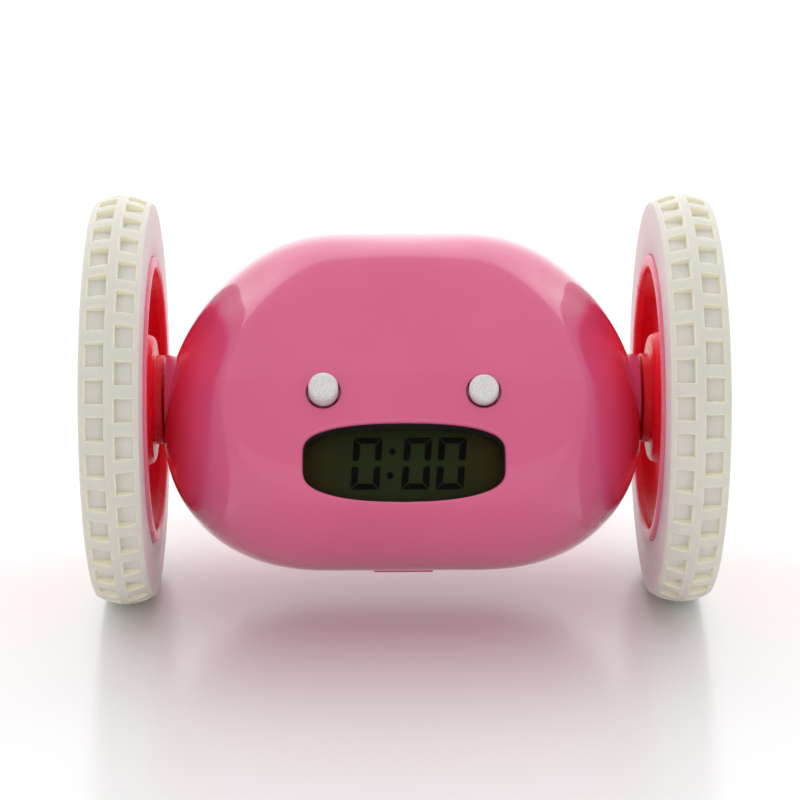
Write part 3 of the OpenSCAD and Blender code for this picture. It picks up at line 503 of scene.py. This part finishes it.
for side, flip in (("right", False), ("left", True)):
    wheel = turned(wheel_outline, 160, wheel_soft)
    cap = turned(cap_outline, 96, [(5, 1.0), (6, 1.5)])
    if flip:
        wheel, cap = mirrored(wheel), mirrored(cap)
    piece(f"{side}_dished_wheel", settle(wheel, axle), f"{side}_wheel_set", wheel_pink,
          [f"{side}_wheel"])
    piece(f"{side}_domed_cap", settle(cap, axle), f"{side}_wheel_set", case_pink,
          [f"{side}_hub_cap"])

# %% [markdown]
# ## The tyres
# The tread band stands proud of the sidewall and carries two rows of soft square pockets, each row
# shifted by half a pocket. The section is spun in uneven steps, so that edges fall exactly where
# pockets begin and end; then the faces of each pocket are inset and pushed in together.

# %% Tyres
tread_count, pocket_long, pocket_wide, pocket_deep = 36, 5.2, 4.0, 1.8
tread_w, crown_across, shoulder = 11.8, 11.5, tyre_r - 1.8
tread_x = outer_x - tread_w
row_in, row_out = tread_x + 0.5, outer_x - 1.4 - pocket_wide


def crown(x):
    """Radius of the tread's crowned surface at x."""
    out = x - (tread_x + outer_x) / 2
    return tyre_r - crown_across + math.sqrt(crown_across ** 2 - out ** 2)


def make_tyre():
    stops = [tread_x, row_in, row_in + pocket_wide, row_out, row_out + pocket_wide, outer_x]
    across = [a + (b - a) * i / 5 for a, b in zip(stops, stops[1:]) for i in range(5)] + [outer_x]
    section = [(tyre_x + 0.4, rim_r), (tyre_x, rim_r + 0.7), (tyre_x, 36.0), (tyre_x, 40.0),
               (tyre_x, shoulder)] + [(x, crown(x)) for x in across] + \
              [(outer_x, 39.0), (outer_x, rim_r + 0.6), (outer_x - 0.3, rim_r)]
    bm = bmesh.new()
    chain = [bm.verts.new((x, 0, r)) for x, r in section]
    last = chain + [bm.edges.new(pair) for pair in zip(chain, chain[1:] + chain[:1])]
    half = math.pi / tread_count
    long = pocket_long / 2 / tyre_r
    for step in (half - long, 2 * long - half, half - long) * (2 * tread_count):
        last = bmesh.ops.spin(bm, geom=last, cent=(0, 0, 0), axis=(1, 0, 0), angle=step,
                              steps=1, use_duplicate=False)["geom_last"]
    bmesh.ops.remove_doubles(bm, verts=bm.verts, dist=1e-3)
    return faced(bm)


def pocket_faces(bm, start, shift):
    """Faces of one row of pockets, found by where their middles are."""
    pitch = 2 * math.pi / tread_count
    found = []
    for f in bm.faces:
        middle = f.calc_center_median()
        turn = math.atan2(middle.y, middle.z) / pitch - shift
        near = abs(turn - round(turn)) * pitch * tyre_r < pocket_long / 2
        if near and start < middle.x < start + pocket_wide and \
                math.hypot(middle.y, middle.z) > shoulder + 0.05:
            found.append(f)
    return found


def tyre_with_pockets():
    """The floors are flat across the tyre, so pockets are deepest beside the middle rib."""
    bm = make_tyre()
    wall_shade_mark = bm.faces.layers.float.new("pocket")
    floor_r = tyre_r - pocket_deep
    brims = []
    for start, shift in ((row_out, 0.0), (row_in, 0.5)):
        floors = pocket_faces(bm, start, shift)
        walls = bmesh.ops.inset_region(bm, faces=floors, thickness=0.30, use_boundary=True,
                                       use_even_offset=True)["faces"]
        for v in {v for f in floors for v in f.verts}:
            v.co.yz = v.co.yz * (floor_r / v.co.yz.length)
        inside = set(walls) | set(floors)
        for f in walls:
            # marks the walls that get the painted shade
            f[wall_shade_mark] = 1.0
            brims += [e for e in f.edges if any(g not in inside for g in e.link_faces)]
    soften(bm, list(set(brims)), 0.35, 3)
    for x, r, radius in ((tread_x, crown(tread_x), 0.5), (outer_x, crown(outer_x), 0.8),
                         (tyre_x, shoulder, 0.5)):
        ring = [e for e in bm.edges if all(abs(v.co.x - x) < 1e-3 and
                abs(math.hypot(v.co.y, v.co.z) - r) < 2e-2 for v in e.verts)]
        soften(bm, ring, radius, 3)
    return faced(bm)


for side, flip in (("right", False), ("left", True)):
    tyre = tyre_with_pockets()
    if flip:
        tyre = mirrored(tyre)
    piece(f"{side}_treaded_tyre", settle(tyre, axle), f"{side}_wheel_set", tyre_white,
          [f"{side}_tyre"], 40)

# %% [markdown]
# ## The shape of the case
# The case is a rounded barrel along the axle, cut by a gently crowned face, with a soft edge where
# they meet. The brow, which is the barrel just above and beside the face, is shaved by up to 2.5 mm,
# more towards the sides, so that the face ends in a round arch, crisp above and soft below. One
# formula gives the skin's distance from the axle in any direction, so a sphere from Blender can be
# pulled onto it, point by point.

# %% The skin as a formula
round_x, round_r, soft_crease, crisp_crease = 2.3, 1.95, 22, 48
brow_at, brow_wide, brow_cut, brow_more = math.radians(55), math.radians(26), 0.022, 0.072


def skin_reach(x, a):
    """Distance from the axle to the skin at station x, at angle a above the front."""
    s = np.clip((np.abs(x) - flat) / (half_w - flat), 0, 1)
    share = np.clip(1 - s ** round_x, 1e-9, 1) ** (1 / round_r)
    barrel = share / np.sqrt((np.cos(a) / reach) ** 2 + (np.sin(a) / rise) ** 2)
    brow = np.exp(-((a - brow_at) / brow_wide) ** 4)
    aside = (np.sqrt(x * x + 36) - 6) / 35  # grows like |x|, without a kink in the middle
    barrel = barrel * (1 - brow * (brow_cut + brow_more * aside) * share ** 0.3)
    lean = a - face_tilt
    behind = crown_r - face_out + x * x / (2 * side_r)
    along = crown_z * np.sin(lean) - behind * np.cos(lean)
    crowned = along + np.sqrt(along ** 2 - behind ** 2 - crown_z ** 2 + crown_r ** 2)
    t = np.clip((np.degrees(a) - 12) / 24, 0, 1)  # soft up to 12 degrees, crisp from 36
    crease = soft_crease + (crisp_crease - soft_crease) * t * t * (3 - 2 * t)
    return (barrel ** -crease + crowned ** -crease) ** (-1 / crease)


def outside(points):
    """How far each point (rows of x, y, z from the axle) is outside the skin."""
    y, z = points[:, 1], points[:, 2]
    r, a = np.hypot(y, z), np.arctan2(z, -y)
    return r - skin_reach(points[:, 0] / (1 - taper * r * np.sin(a) / rise), a)


def outward(points):
    """The skin's own normal at each point, from how `outside` changes round it."""
    steps = np.eye(3) * 0.01
    grade = np.stack([outside(points + s) - outside(points - s) for s in steps], 1)
    return grade / np.maximum(np.linalg.norm(grade, axis=1, keepdims=True), 1e-12)


print("skin reach straight ahead:", round(float(skin_reach(np.float64(0), 0.0)), 2), "mm")

# %% [markdown]
# Laying the sphere along X puts its two poles on the axle, where the collars cover them. The rows
# of its mesh are spread so that they crowd where the body rounds over.

# %% Pull a sphere onto the skin
skin_rows, skin_turns = 132, 232


def full_skin():
    bm = bmesh.new()
    bmesh.ops.create_uvsphere(bm, u_segments=skin_turns, v_segments=skin_rows, radius=1)
    middle = 0.22  # the share of the rows that lie on the flat middle
    for v in bm.verts:
        latitude = math.asin(max(-1, min(1, v.co.z))) / (math.pi / 2)
        a = math.atan2(v.co.y, v.co.x)
        u = abs(latitude)
        if u < middle:
            x = flat * u / middle
        else:
            t = math.sin((u - middle) / (1 - middle) * math.pi / 2)
            x = flat + (half_w - flat) * t ** (2 / round_x)
        x = math.copysign(x, latitude)
        r = float(skin_reach(np.float64(x), a)) if u < 0.99999 else 0.0
        v.co = (x * (1 - taper * r * math.sin(a) / rise), -r * math.cos(a), r * math.sin(a))
    return faced(bm)


def as_object(name, bm):
    mesh = bpy.data.meshes.new(name)
    bm.to_mesh(mesh)
    bm.free()
    made = bpy.data.objects.new(name, mesh)
    bpy.context.scene.collection.objects.link(made)
    return made


def worked(obj, *modifiers):
    """The mesh of a helper object after modifiers, as a new bmesh; the helper goes away."""
    for kind, settings in modifiers:
        modifier = obj.modifiers.new(kind, kind)
        for key, value in settings.items():
            setattr(modifier, key, value)
    bpy.context.view_layer.update()
    shape = obj.evaluated_get(bpy.context.evaluated_depsgraph_get())
    mesh = bpy.data.meshes.new_from_object(shape)
    bm = bmesh.new()
    bm.from_mesh(mesh)
    bpy.data.meshes.remove(mesh)
    bpy.data.objects.remove(obj)
    return bm


# %% [markdown]
# ## Cutting the case
# The wall comes first: Solidify grows it inwards. Every opening is then one solid, and all of them
# go through a single Boolean. Tools for buttons and grille are plain rods, and the display window's
# is its outline pushed through the wall.

# %% Tools for the openings
eyes = {"hour": (-16.7, 35.8), "minute": (16.3, 34.4)}  # where each eye is, and how far out its tip
eye_z, eye_r, eye_gap = -10.1, 3.06, 0.5
window_x, window_half_w, window_half_h, window_z = -0.2, 20.7, 7.8, -24.6
lip_r, eye_lip = 0.8, 0.25


def window_outline(grow, count=144):
    """The display window's outline, arched above and below, as points in the face's x and z."""
    points = []
    for i in range(count):
        a = 2 * math.pi * i / count
        x = math.copysign(abs(math.cos(a)) ** (2 / 4.5), math.cos(a))
        z = math.copysign(abs(math.sin(a)) ** (2 / 4.5), math.sin(a))
        points.append((window_x + x * (window_half_w + grow),
                       window_z + z * (window_half_h * (1 - 0.2 * x * x) + grow)))
    return points


def circle_outline(x, z, r, count=64):
    return [(x + r * math.cos(2 * math.pi * i / count), z + r * math.sin(2 * math.pi * i / count))
            for i in range(count)]


def prism(points, y0, y1):
    """A solid through the face from y0 to y1 over an outline."""
    bm = bmesh.new()
    bmesh.ops.create_circle(bm, cap_ends=True, segments=len(points), radius=1)
    bm.verts.ensure_lookup_table()
    for v, (x, z) in zip(bm.verts, points):
        v.co = (x, y0, z)
    grown = bmesh.ops.extrude_face_region(bm, geom=bm.faces[:], use_keep_orig=True)["geom"]
    far = [g for g in grown if isinstance(g, bmesh.types.BMVert)]
    bmesh.ops.translate(bm, vec=(0, y1 - y0, 0), verts=far)
    return faced(bm)


def block(low, high, soft=0.0, segments=2):
    bm = bmesh.new()
    bmesh.ops.create_cube(bm, size=1)
    size = [b - a for a, b in zip(low, high)]
    bmesh.ops.scale(bm, vec=size, verts=bm.verts)
    bmesh.ops.translate(bm, vec=[(a + b) / 2 for a, b in zip(low, high)], verts=bm.verts)
    if soft:
        soften(bm, bm.edges[:], soft, segments)
    return bm


print("window outline", len(window_outline(0)), "points")

# %% Where the rear openings are
rear_x, rear_high, rear_low, snooze_z, speaker_z = 23.0, 16.5, 8.0, 19.0, 6.0
rear_button_r, slot_half, knob_half, knob_long = 2.6, 3.1, 0.8, 1.2
screw_places, head_r, head_y = [(20, 30), (35, -20)], 2.3, 12
hole_spacing, grille_hole_r, hole_gap = 2.7, 0.9, 0.3
door_half_w, door_front, door_rear, door_gap = 31.0, -24.5, 22.7, 0.3


def back_y(x, z):
    """Distance from the axle to the back of the skin, at x and z of the face frame."""
    low, high = 20.0, 60.0
    for _ in range(40):
        y = (low + high) / 2
        point = face_turn @ Vector((x, y, z))
        low, high = (y, high) if outside(np.array([point]))[0] < 0 else (low, y)
    return low


def rear_cutters():
    """Everything that goes through the back, apart from the door and the axle."""
    y0, y1, hole_r = 33, 60, rear_button_r + hole_gap
    bm = bmesh.new()
    for x, z in ((0, snooze_z), (-rear_x, rear_high), (-rear_x, rear_low)):
        add(bm, prism(circle_outline(x, z, hole_r, 48), y0, y1))
    for z in (rear_high, rear_low):
        add(bm, block((rear_x - slot_half - hole_gap, y0, z - knob_half - hole_gap),
                      (rear_x + slot_half + hole_gap, y1, z + knob_half + hole_gap)))
    for ring in range(3):
        count = max(1, 6 * ring)
        for x, z in circle_outline(0, speaker_z, hole_spacing * ring, count):
            add(bm, prism(circle_outline(x, z, grille_hole_r, 24), y0, y1))
    for x, z in screw_places:
        for side in (-1, 1):
            add(bm, prism(circle_outline(side * x, z, head_r, 40), head_y, y1))
    return turn(bm, face_turn)


def door_box(grow):
    return turn(block((-door_half_w - grow, door_front - grow, -60),
                      (door_half_w + grow, door_rear + grow, -21)), battery_turn)


print("rear skin behind the upper controls:", round(back_y(rear_x, rear_high), 2), "mm from the axle")

# %% [markdown]
# ## Cutting and shading
# A Boolean leaves long thin faces round each opening, which would ripple in the gloss. The cure is
# to give every corner that lies on the skin the skin's own normal, worked out from the formula.

# %% Cut a shell and shade it
half_gap = 0.04


def halve(bm, direction):
    """Keeps one side of the parting plane: direction -1 is the front, 1 the rear."""
    beyond = face_turn.to_3x3() @ Vector((0, -direction, 0))
    trim(bm, beyond * -half_gap, beyond)


def half_skin(direction):
    bm = full_skin()
    halve(bm, direction)
    return bm


thicken = ("SOLIDIFY", {"thickness": wall, "offset": -1})


def cut(shell, *tools, operation="DIFFERENCE"):
    kept = [as_object("tool", t) for t in tools]
    cuts = [("BOOLEAN", {"object": t, "operation": operation, "solver": "EXACT"}) for t in kept]
    bm = worked(as_object("shell", shell), thicken, *cuts)
    for t in kept:
        bpy.data.objects.remove(t)
    return bm


def shade_from_formula(obj, reach_in=0.012):
    """Gives corners on the skin the skin's own normal. Points are in metres here."""
    mesh = obj.data
    count = len(mesh.vertices)
    co = np.zeros(count * 3)
    mesh.vertices.foreach_get("co", co)
    co = co.reshape(-1, 3) / mm - np.array([0, 0, tyre_r])
    on_skin = np.abs(outside(co)) < reach_in
    normals = np.zeros((count, 3))
    normals[on_skin] = outward(co[on_skin])
    corner = np.zeros(len(mesh.loops), int)
    mesh.loops.foreach_get("vertex_index", corner)
    given = np.zeros((len(corner), 3))
    for polygon in mesh.polygons:
        spots = corner[polygon.loop_start:polygon.loop_start + polygon.loop_total]
        if on_skin[spots].all() and normals[spots[0]] @ np.array(polygon.normal) > 0.8:
            given[polygon.loop_start:polygon.loop_start + polygon.loop_total] = normals[spots]
    mesh.normals_split_custom_set(given.tolist())
    print(obj.name, "corners on the skin:", int((np.abs(given).sum(1) > 0).sum()))


# %% [markdown]
# ## Rounded rims
# The rims of the window and of the two eye holes are rounded. Each is a ring of edges that starts
# on the skin, just outside the opening, and is extruded step by step along a quarter circle, then
# straight in. It begins a hair below the skin so that no gap can show.

# %% Rims of the front openings
def front_y(points):
    """For points (x, z) of the face frame, how far out the skin is there."""
    xz = np.array(points)
    low, high = np.full(len(xz), -60.0), np.full(len(xz), -10.0)
    turn3 = np.array(face_turn.to_3x3())
    for _ in range(44):
        y = (low + high) / 2
        out = outside(np.stack([xz[:, 0], y, xz[:, 1]], 1) @ turn3.T) > 0
        low, high = np.where(out, y, low), np.where(out, high, y)
    return (low + high) / 2


def rim(outline_of, radius, end_of, steps=6):
    """outline_of(grow) gives the opening's points; end_of(z) is the y where its wall ends."""
    stages = [(radius + 0.25, 0.03)]
    for i in range(steps + 1):
        t = math.pi / 2 * i / steps
        stages.append((radius * (1 - math.sin(t)), radius * (1 - math.cos(t))))
    rings = []
    for grow, deep in stages:
        points = outline_of(grow)
        rings.append([(x, y + deep, z) for (x, z), y in zip(points, front_y(points))])
    rings.append([(x, end_of(z), z) for x, _, z in rings[-1]])
    bm = bmesh.new()
    bmesh.ops.create_circle(bm, cap_ends=False, segments=len(rings[0]), radius=1)
    bm.verts.ensure_lookup_table()
    for v, co in zip(bm.verts, rings[0]):
        v.co = co
    edges, verts = bm.edges[:], bm.verts[:]
    for ring in rings[1:]:
        grown = bmesh.ops.extrude_edge_only(bm, edges=edges)["geom"]
        edges = [g for g in grown if isinstance(g, bmesh.types.BMEdge)]
        verts = [g for g in grown if isinstance(g, bmesh.types.BMVert)]
        for v, co in zip(verts, ring):
            v.co = co
    return turn(bm, face_turn)


print("rims take the skin from the formula:", front_y([(0, window_z)]).round(2))

# %% [markdown]
# ## The front half
# The Boolean takes the window, the eyes and the axle holes out of the wall. Then the rims, the
# button guides, the screw posts, four smaller posts and the collars are laid into the same mesh.

# %% Front case
def tube(x, z, r0, r1, y0, y1):
    """A tube along Y of the face's frame."""
    bm = turned([(y0, r0), (y0, r1), (y1, r1), (y1, r0)], 64)
    return turn(bm, face_turn @ Matrix.Translation((x, 0, z)) @ face_in_turn)


def collar(direction):
    """Half of each side collar, cut where the case halves part."""
    bm = bmesh.new()
    for flip in (False, True):
        ring = turned([(bush_x, 3.55), (bush_x, collar_r), (collar_x, collar_r), (collar_x, 3.55)],
                      128, [(2, 0.35)])
        add(bm, mirrored(ring) if flip else ring)
    halve(bm, direction)
    return bm


def axle_hole():
    """A hole along the axle; past the collars' ends it is as wide as they are."""
    return turned([(-70, 0), (-70, collar_r - 0.05), (-collar_x, collar_r - 0.05), (-collar_x, 3.6),
                   (collar_x, 3.6), (collar_x, collar_r - 0.05), (70, collar_r - 0.05), (70, 0)], 96)


lens_out = 30.2  # in the display's frame


def lens_front(z):
    """Outer side of the clear window, as y of the face frame at height z."""
    return (-lens_out - math.sin(display_lean) * z) / math.cos(display_lean)


def behind_skin(x, z, r):
    """Where a post of radius r may begin, so that no part of its end comes through the skin."""
    return float(max(front_y(circle_outline(x, z, r, 16)))) + 1.0


def eye_outline(x, grow):
    """The hole round an eye, in the face's x and z."""
    return circle_outline(x, eye_z, eye_r + eye_gap + grow, 72)


guide_end, guide_hole, post_r = -27.15, 2.3, 3.0
openings = prism(window_outline(lip_r), -60, -20)
for x, tip in eyes.values():
    add(openings, prism(eye_outline(x, eye_lip), -60, -20))
turn(openings, face_turn)
add(openings, axle_hole())
front = cut(half_skin(-1), openings)
add(front, rim(window_outline, lip_r, lens_front))
for x, tip in eyes.values():
    add(front, rim(partial(eye_outline, x), eye_lip, lambda z: guide_end))
    add(front, tube(x, eye_z, guide_hole, eye_r + 1.7, guide_end - 2.0, guide_end))
for side in (-1, 1):
    for x, z in screw_places:
        add(front, tube(side * x, z, 1.15, post_r, behind_skin(side * x, z, post_r), -half_gap))
    for z in (-12.5, 14.5):
        add(front, tube(side * 26.6, z, 0.8, 2.2, behind_skin(side * 26.6, z, 2.2), -22))
add(front, collar(-1))
front_case = piece("front_case", settle(front, axle), "case", case_pink, ["front_shell"])
shade_from_formula(front_case)

# %% [markdown]
# A dark gasket lines the window's opening behind its rounded rim. It is partly painted shade: a dark
# sheet that stands in for the shade deep in the recess. It is a ring between two outlines, so the
# light edge of the case meets the dark display directly.

# %% Window gasket, which also paints the shade of the recess
def sleeve(outline_of, inner, outer, start_of, end_of):
    """A ring between two outlines, from start_of(z) to end_of(z) along y."""
    bm = bmesh.new()
    corners = [(outer, start_of), (inner, start_of), (inner, end_of), (outer, end_of)]
    loops = []
    for grow, y_of in corners:
        points = outline_of(grow)
        made = bmesh.ops.create_circle(bm, cap_ends=False, segments=len(points), radius=1)["verts"]
        for v, (x, z) in zip(made, points):
            v.co = (x, y_of(x, z), z)
        loops.append([e for e in bm.edges if e.verts[0] in made and e.verts[1] in made])
    for first, second in zip(loops, loops[1:] + loops[:1]):
        bmesh.ops.bridge_loops(bm, edges=first + second)
    return turn(faced(bm), face_turn)


def under_rim(x, z):
    return float(front_y([(x, z)])[0]) + 0.75


liner_and_shade = sleeve(window_outline, -0.12, 0.0, under_rim, lambda x, z: lens_front(z) - 0.02)
piece("window_liner_and_shade", settle(liner_and_shade, axle), "case", liner_and_shade_rubber)

# %% [markdown]
# ## The rear half
# Nothing of the back is in the photograph. It gets the holes of its controls, a grille of small
# round holes for the speaker, deep recesses for the four case screws and the opening for the door.

# %% Rear case
rear_openings = rear_cutters()
add(rear_openings, axle_hole())
rear = cut(half_skin(1), rear_openings, door_box(door_gap))
for x, z in screw_places:
    for side in (-1, 1):
        top = min(back_y(side * x + dx, z + dz) for dx in (-head_r, head_r)
                  for dz in (-head_r, head_r)) - 0.4
        post = turned([(half_gap, 1.35), (half_gap, post_r), (top, post_r), (top, head_r),
                       (head_y, head_r), (head_y, 1.35)], 48)
        add(rear, turn(post, face_turn @ Matrix.Translation((side * x, 0, z)) @ face_in_turn))
for side in (-1, 1):
    for z in (7.3, 19.5):
        add(rear, tube(side * 13, z, 0.8, 1.8, 29.97, back_y(13, z) - 1.2))
add(rear, tube(0, speaker_z, 7.9, 9.0, 34.6, 37.4))
add(rear, collar(1))
rear_case = piece("rear_case", settle(rear, axle), "case", case_pink, ["rear_shell"])
shade_from_formula(rear_case)

# %% [markdown]
# ## The battery door
# The door is the same skin kept inside a box instead of cut away, so it always continues the body's
# curve. Five short ribs give the thumb a hold, and two hooks hold its rear edge.

# %% Battery door
rib_lean, rib_step, rib_half_w, rib_half_t, rib_proud = -26.5, 2.4, 6.4, 0.4, 0.4
door = cut(full_skin(), door_box(0), operation="INTERSECT")
for i in range(5):
    lean = math.radians(rib_lean + rib_step * i)
    r = float(skin_reach(np.float64(0), -math.pi / 2 - lean))
    rib = block((-rib_half_w, -rib_half_t, -r - rib_proud), (rib_half_w, rib_half_t, 0.9 - r), 0.22, 3)
    add(door, turn(rib, Matrix.Rotation(lean, 4, "X")))
for side in (-1, 1):
    x0, x1 = sorted((side * 14, side * 18))
    add(door, turn(block((x0, 21.3, -31.64), (x1, 22.5, -28.22), 0.15), battery_turn))
    add(door, turn(block((x0, 21.3, -29.02), (x1, 24.3, -28.22), 0.15), battery_turn))
door_piece = piece("door_with_ribs", settle(door, axle), "battery_door", case_pink,
                   ["battery_door"])
shade_from_formula(door_piece)

# %% [markdown]
# ## The two eyes
# Each eye is a push button: a short cap with a rounded edge whose end carries a fine texture. It
# stands on a thinner neck, so the gap round it is deep and looks dark. A flange inside stops it
# falling out; it is cut flat on the side of the display.

# %% Eye buttons
eye_tail, neck_r, cap_foot = 26.05, 2.2, 31.6
flange_t, flange_r, flange_cut = 0.8, eye_r + 1.4, 3.2
for name, (x, tip) in eyes.items():
    bm = turned([(eye_tail, 0), (eye_tail, flange_r), (eye_tail + flange_t, flange_r),
                 (eye_tail + flange_t, neck_r), (cap_foot, neck_r), (cap_foot, eye_r - 0.1),
                 (cap_foot + 0.2, eye_r), (tip - 0.25, eye_r), (tip, eye_r - 0.6), (tip, 0)], 96,
                [(1, 0.15), (2, 0.15), (7, 0.6), (8, 0.4)])
    turn(bm, Matrix.Translation((x, 0, eye_z)) @ face_out_turn)
    trim(bm, (0, 0, eye_z - flange_cut), (0, 0, -1))
    bmesh.ops.holes_fill(bm, edges=[e for e in bm.edges if e.is_boundary], sides=0)
    faced(bm)
    piece(f"{name}_eye", settle(bm, face), f"{name}_button", button_white,
          [f"{name}_button"])

# %% [markdown]
# ## Controls on the back
# Round push buttons for time, alarm and snooze, and two small thumb sliders with ridges.

# %% Rear controls
rear_tail = 34.02
rear_flange, proud = rear_button_r + 0.8, 0.75
for name, x, z in (("time", -rear_x, rear_high), ("alarm", -rear_x, rear_low),
                   ("snooze", 0, snooze_z)):
    tip = back_y(x, z) + proud
    bm = turned([(rear_tail, 0), (rear_tail, rear_flange), (rear_tail + 0.8, rear_flange),
                 (rear_tail + 0.8, rear_button_r), (tip - 0.2, rear_button_r), (tip, 0)], 72,
                [(1, 0.15), (2, 0.15), (4, 0.5)])
    turn(bm, Matrix.Translation((x, 0, z)) @ face_in_turn)
    piece(f"{name}_push_button", settle(bm, face), f"{name}_button", button_white,
          [f"{name}_button"])
for name, z in (("alarm", rear_high), ("run", rear_low)):
    middle, tip = rear_x - 1.5, back_y(rear_x, z) + 0.72
    bm = block((middle - knob_long, 31.27, z - knob_half),
               (middle + knob_long, tip - 0.25, z + knob_half), 0.15)
    for i in (-1, 0, 1):
        add(bm, block((middle + 0.75 * i - 0.2, tip - 0.6, z - knob_half + 0.05),
                      (middle + 0.75 * i + 0.2, tip, z + knob_half - 0.05), 0.12))
    piece(f"{name}_thumb_slider", settle(bm, face), f"{name}_slider", button_white,
          [f"{name}_slider"])

# %% [markdown]
# ## The display
# The glass is a thin slab behind the window. Its three digits read 0:00; each is six slanted bars
# with mitred ends, and the middle bar is off. The bars stand a few hundredths of a millimetre proud
# of the glass, which is enough to keep the two surfaces apart.

# %% Display glass and digits
glass = block((-22.5, -28.6, -28.1), (22.5, -26.0, -11.3), 0.25)
piece("display_glass", settle(glass, display), "case", display_olive, ["lcd_panel"])

digit_h, bar_v, bar_h, bar_gap, slant = 10.9, 1.42, 1.27, 0.16, 0.078
digits = [(-11.3, 6.0), (-0.8, 5.74), (6.3, 5.78)]  # where each starts, and how wide it is
digit_foot, ink_y = -25.24, (-28.64, -28.58)
dots, dot_r = [(-2.57, -17.26), (-3.05, -22.27)], 0.74


def bars(width):
    """The six bars of a zero, as outlines in a box of this width."""
    g, top, middle = bar_gap, digit_h, digit_h / 2
    upper = [(0, top - g), (bar_v, top - g - bar_v), (bar_v, middle + 0.85), (0.5, middle + 0.5),
             (0, middle + 0.8)]
    lower = [(x, top - z) for x, z in upper]
    head = [(g, top), (width - g, top), (width - g - bar_h, top - bar_h), (g + bar_h, top - bar_h)]
    foot = [(x, top - z) for x, z in head]
    mirror = [[(width - x, z) for x, z in bar] for bar in (upper, lower)]
    return [head, foot, upper, lower] + mirror


figures = bmesh.new()
for x0, width in digits:
    for bar in bars(width):
        outline = [(x0 + x + slant * z, digit_foot + z) for x, z in bar]
        add(figures, prism(outline, *ink_y))
for x, z in dots:
    add(figures, prism(circle_outline(x, z, dot_r, 32), *ink_y))
piece("display_figures", settle(figures, display), "case", ink)

# %% [markdown]
# ## The studio
# A plain white floor with a slight sheen shows a soft reflection of the clock, as in the picture.
# Most of the light is the white world itself, which is brighter behind the clock than in front of it:
# that brighter half is what the glossy top of the body mirrors. A wide soft light overhead and another
# in front add a little.

# %% Floor, light and world
paper = Finish("studio floor", Specular_IOR_Level=0.6)
haze = paper.noise(6.0, 2.0)
paper.give(Base_Color=paper.blend(haze, (0.85, 0.85, 0.85), (0.88, 0.88, 0.88)),
           Roughness=haze * 0.06 + 0.18)
floor_mesh = bpy.data.meshes.new("floor")
bm = bmesh.new()
bmesh.ops.create_grid(bm, x_segments=1, y_segments=1, size=6)
bm.to_mesh(floor_mesh)
bm.free()
floor_mesh.materials.append(paper.material)
floor = bpy.data.objects.new("floor", floor_mesh)
bpy.context.scene.collection.objects.link(floor)

turns_at, turned_at, front_light, back_light = 0.26, 0.40, 0.80, 1.65
world = bpy.data.worlds.new("studio")
bpy.context.scene.world = world
world.use_nodes = True
sky = world.node_tree.nodes
sky["Background"].inputs[0].default_value = (1, 1, 1, 1)
towards_back = sky.new("ShaderNodeSeparateXYZ")
brighter = sky.new("ShaderNodeMapRange")
brighter.interpolation_type = "SMOOTHSTEP"
for number, value in enumerate((turns_at, turned_at, front_light, back_light), 1):
    brighter.inputs[number].default_value = value
where = sky.new("ShaderNodeTexCoord")
link = world.node_tree.links.new
link(where.outputs["Generated"], towards_back.inputs[0])
link(towards_back.outputs[1], brighter.inputs[0])
link(brighter.outputs[0], sky["Background"].inputs[1])


def soft_light(name, place, size, watts):
    """An area light that looks at the clock's middle."""
    lamp = bpy.data.lights.new(name, "AREA")
    lamp.shape, lamp.size, lamp.size_y, lamp.energy = "RECTANGLE", size[0], size[1], watts
    made = bpy.data.objects.new(name, lamp)
    made.location = place
    made.rotation_mode = "QUATERNION"
    made.rotation_quaternion = (Vector((0, 0, 0.04)) - made.location).to_track_quat("-Z", "Y")
    bpy.context.scene.collection.objects.link(made)


soft_light("overhead", (0.0, 0.2, 1.3), (2.0, 2.0), 2.5)
soft_light("front_fill", (0.0, -1.2, 0.25), (2.4, 0.9), 2.0)
bpy.context.scene.view_settings.view_transform = "Standard"
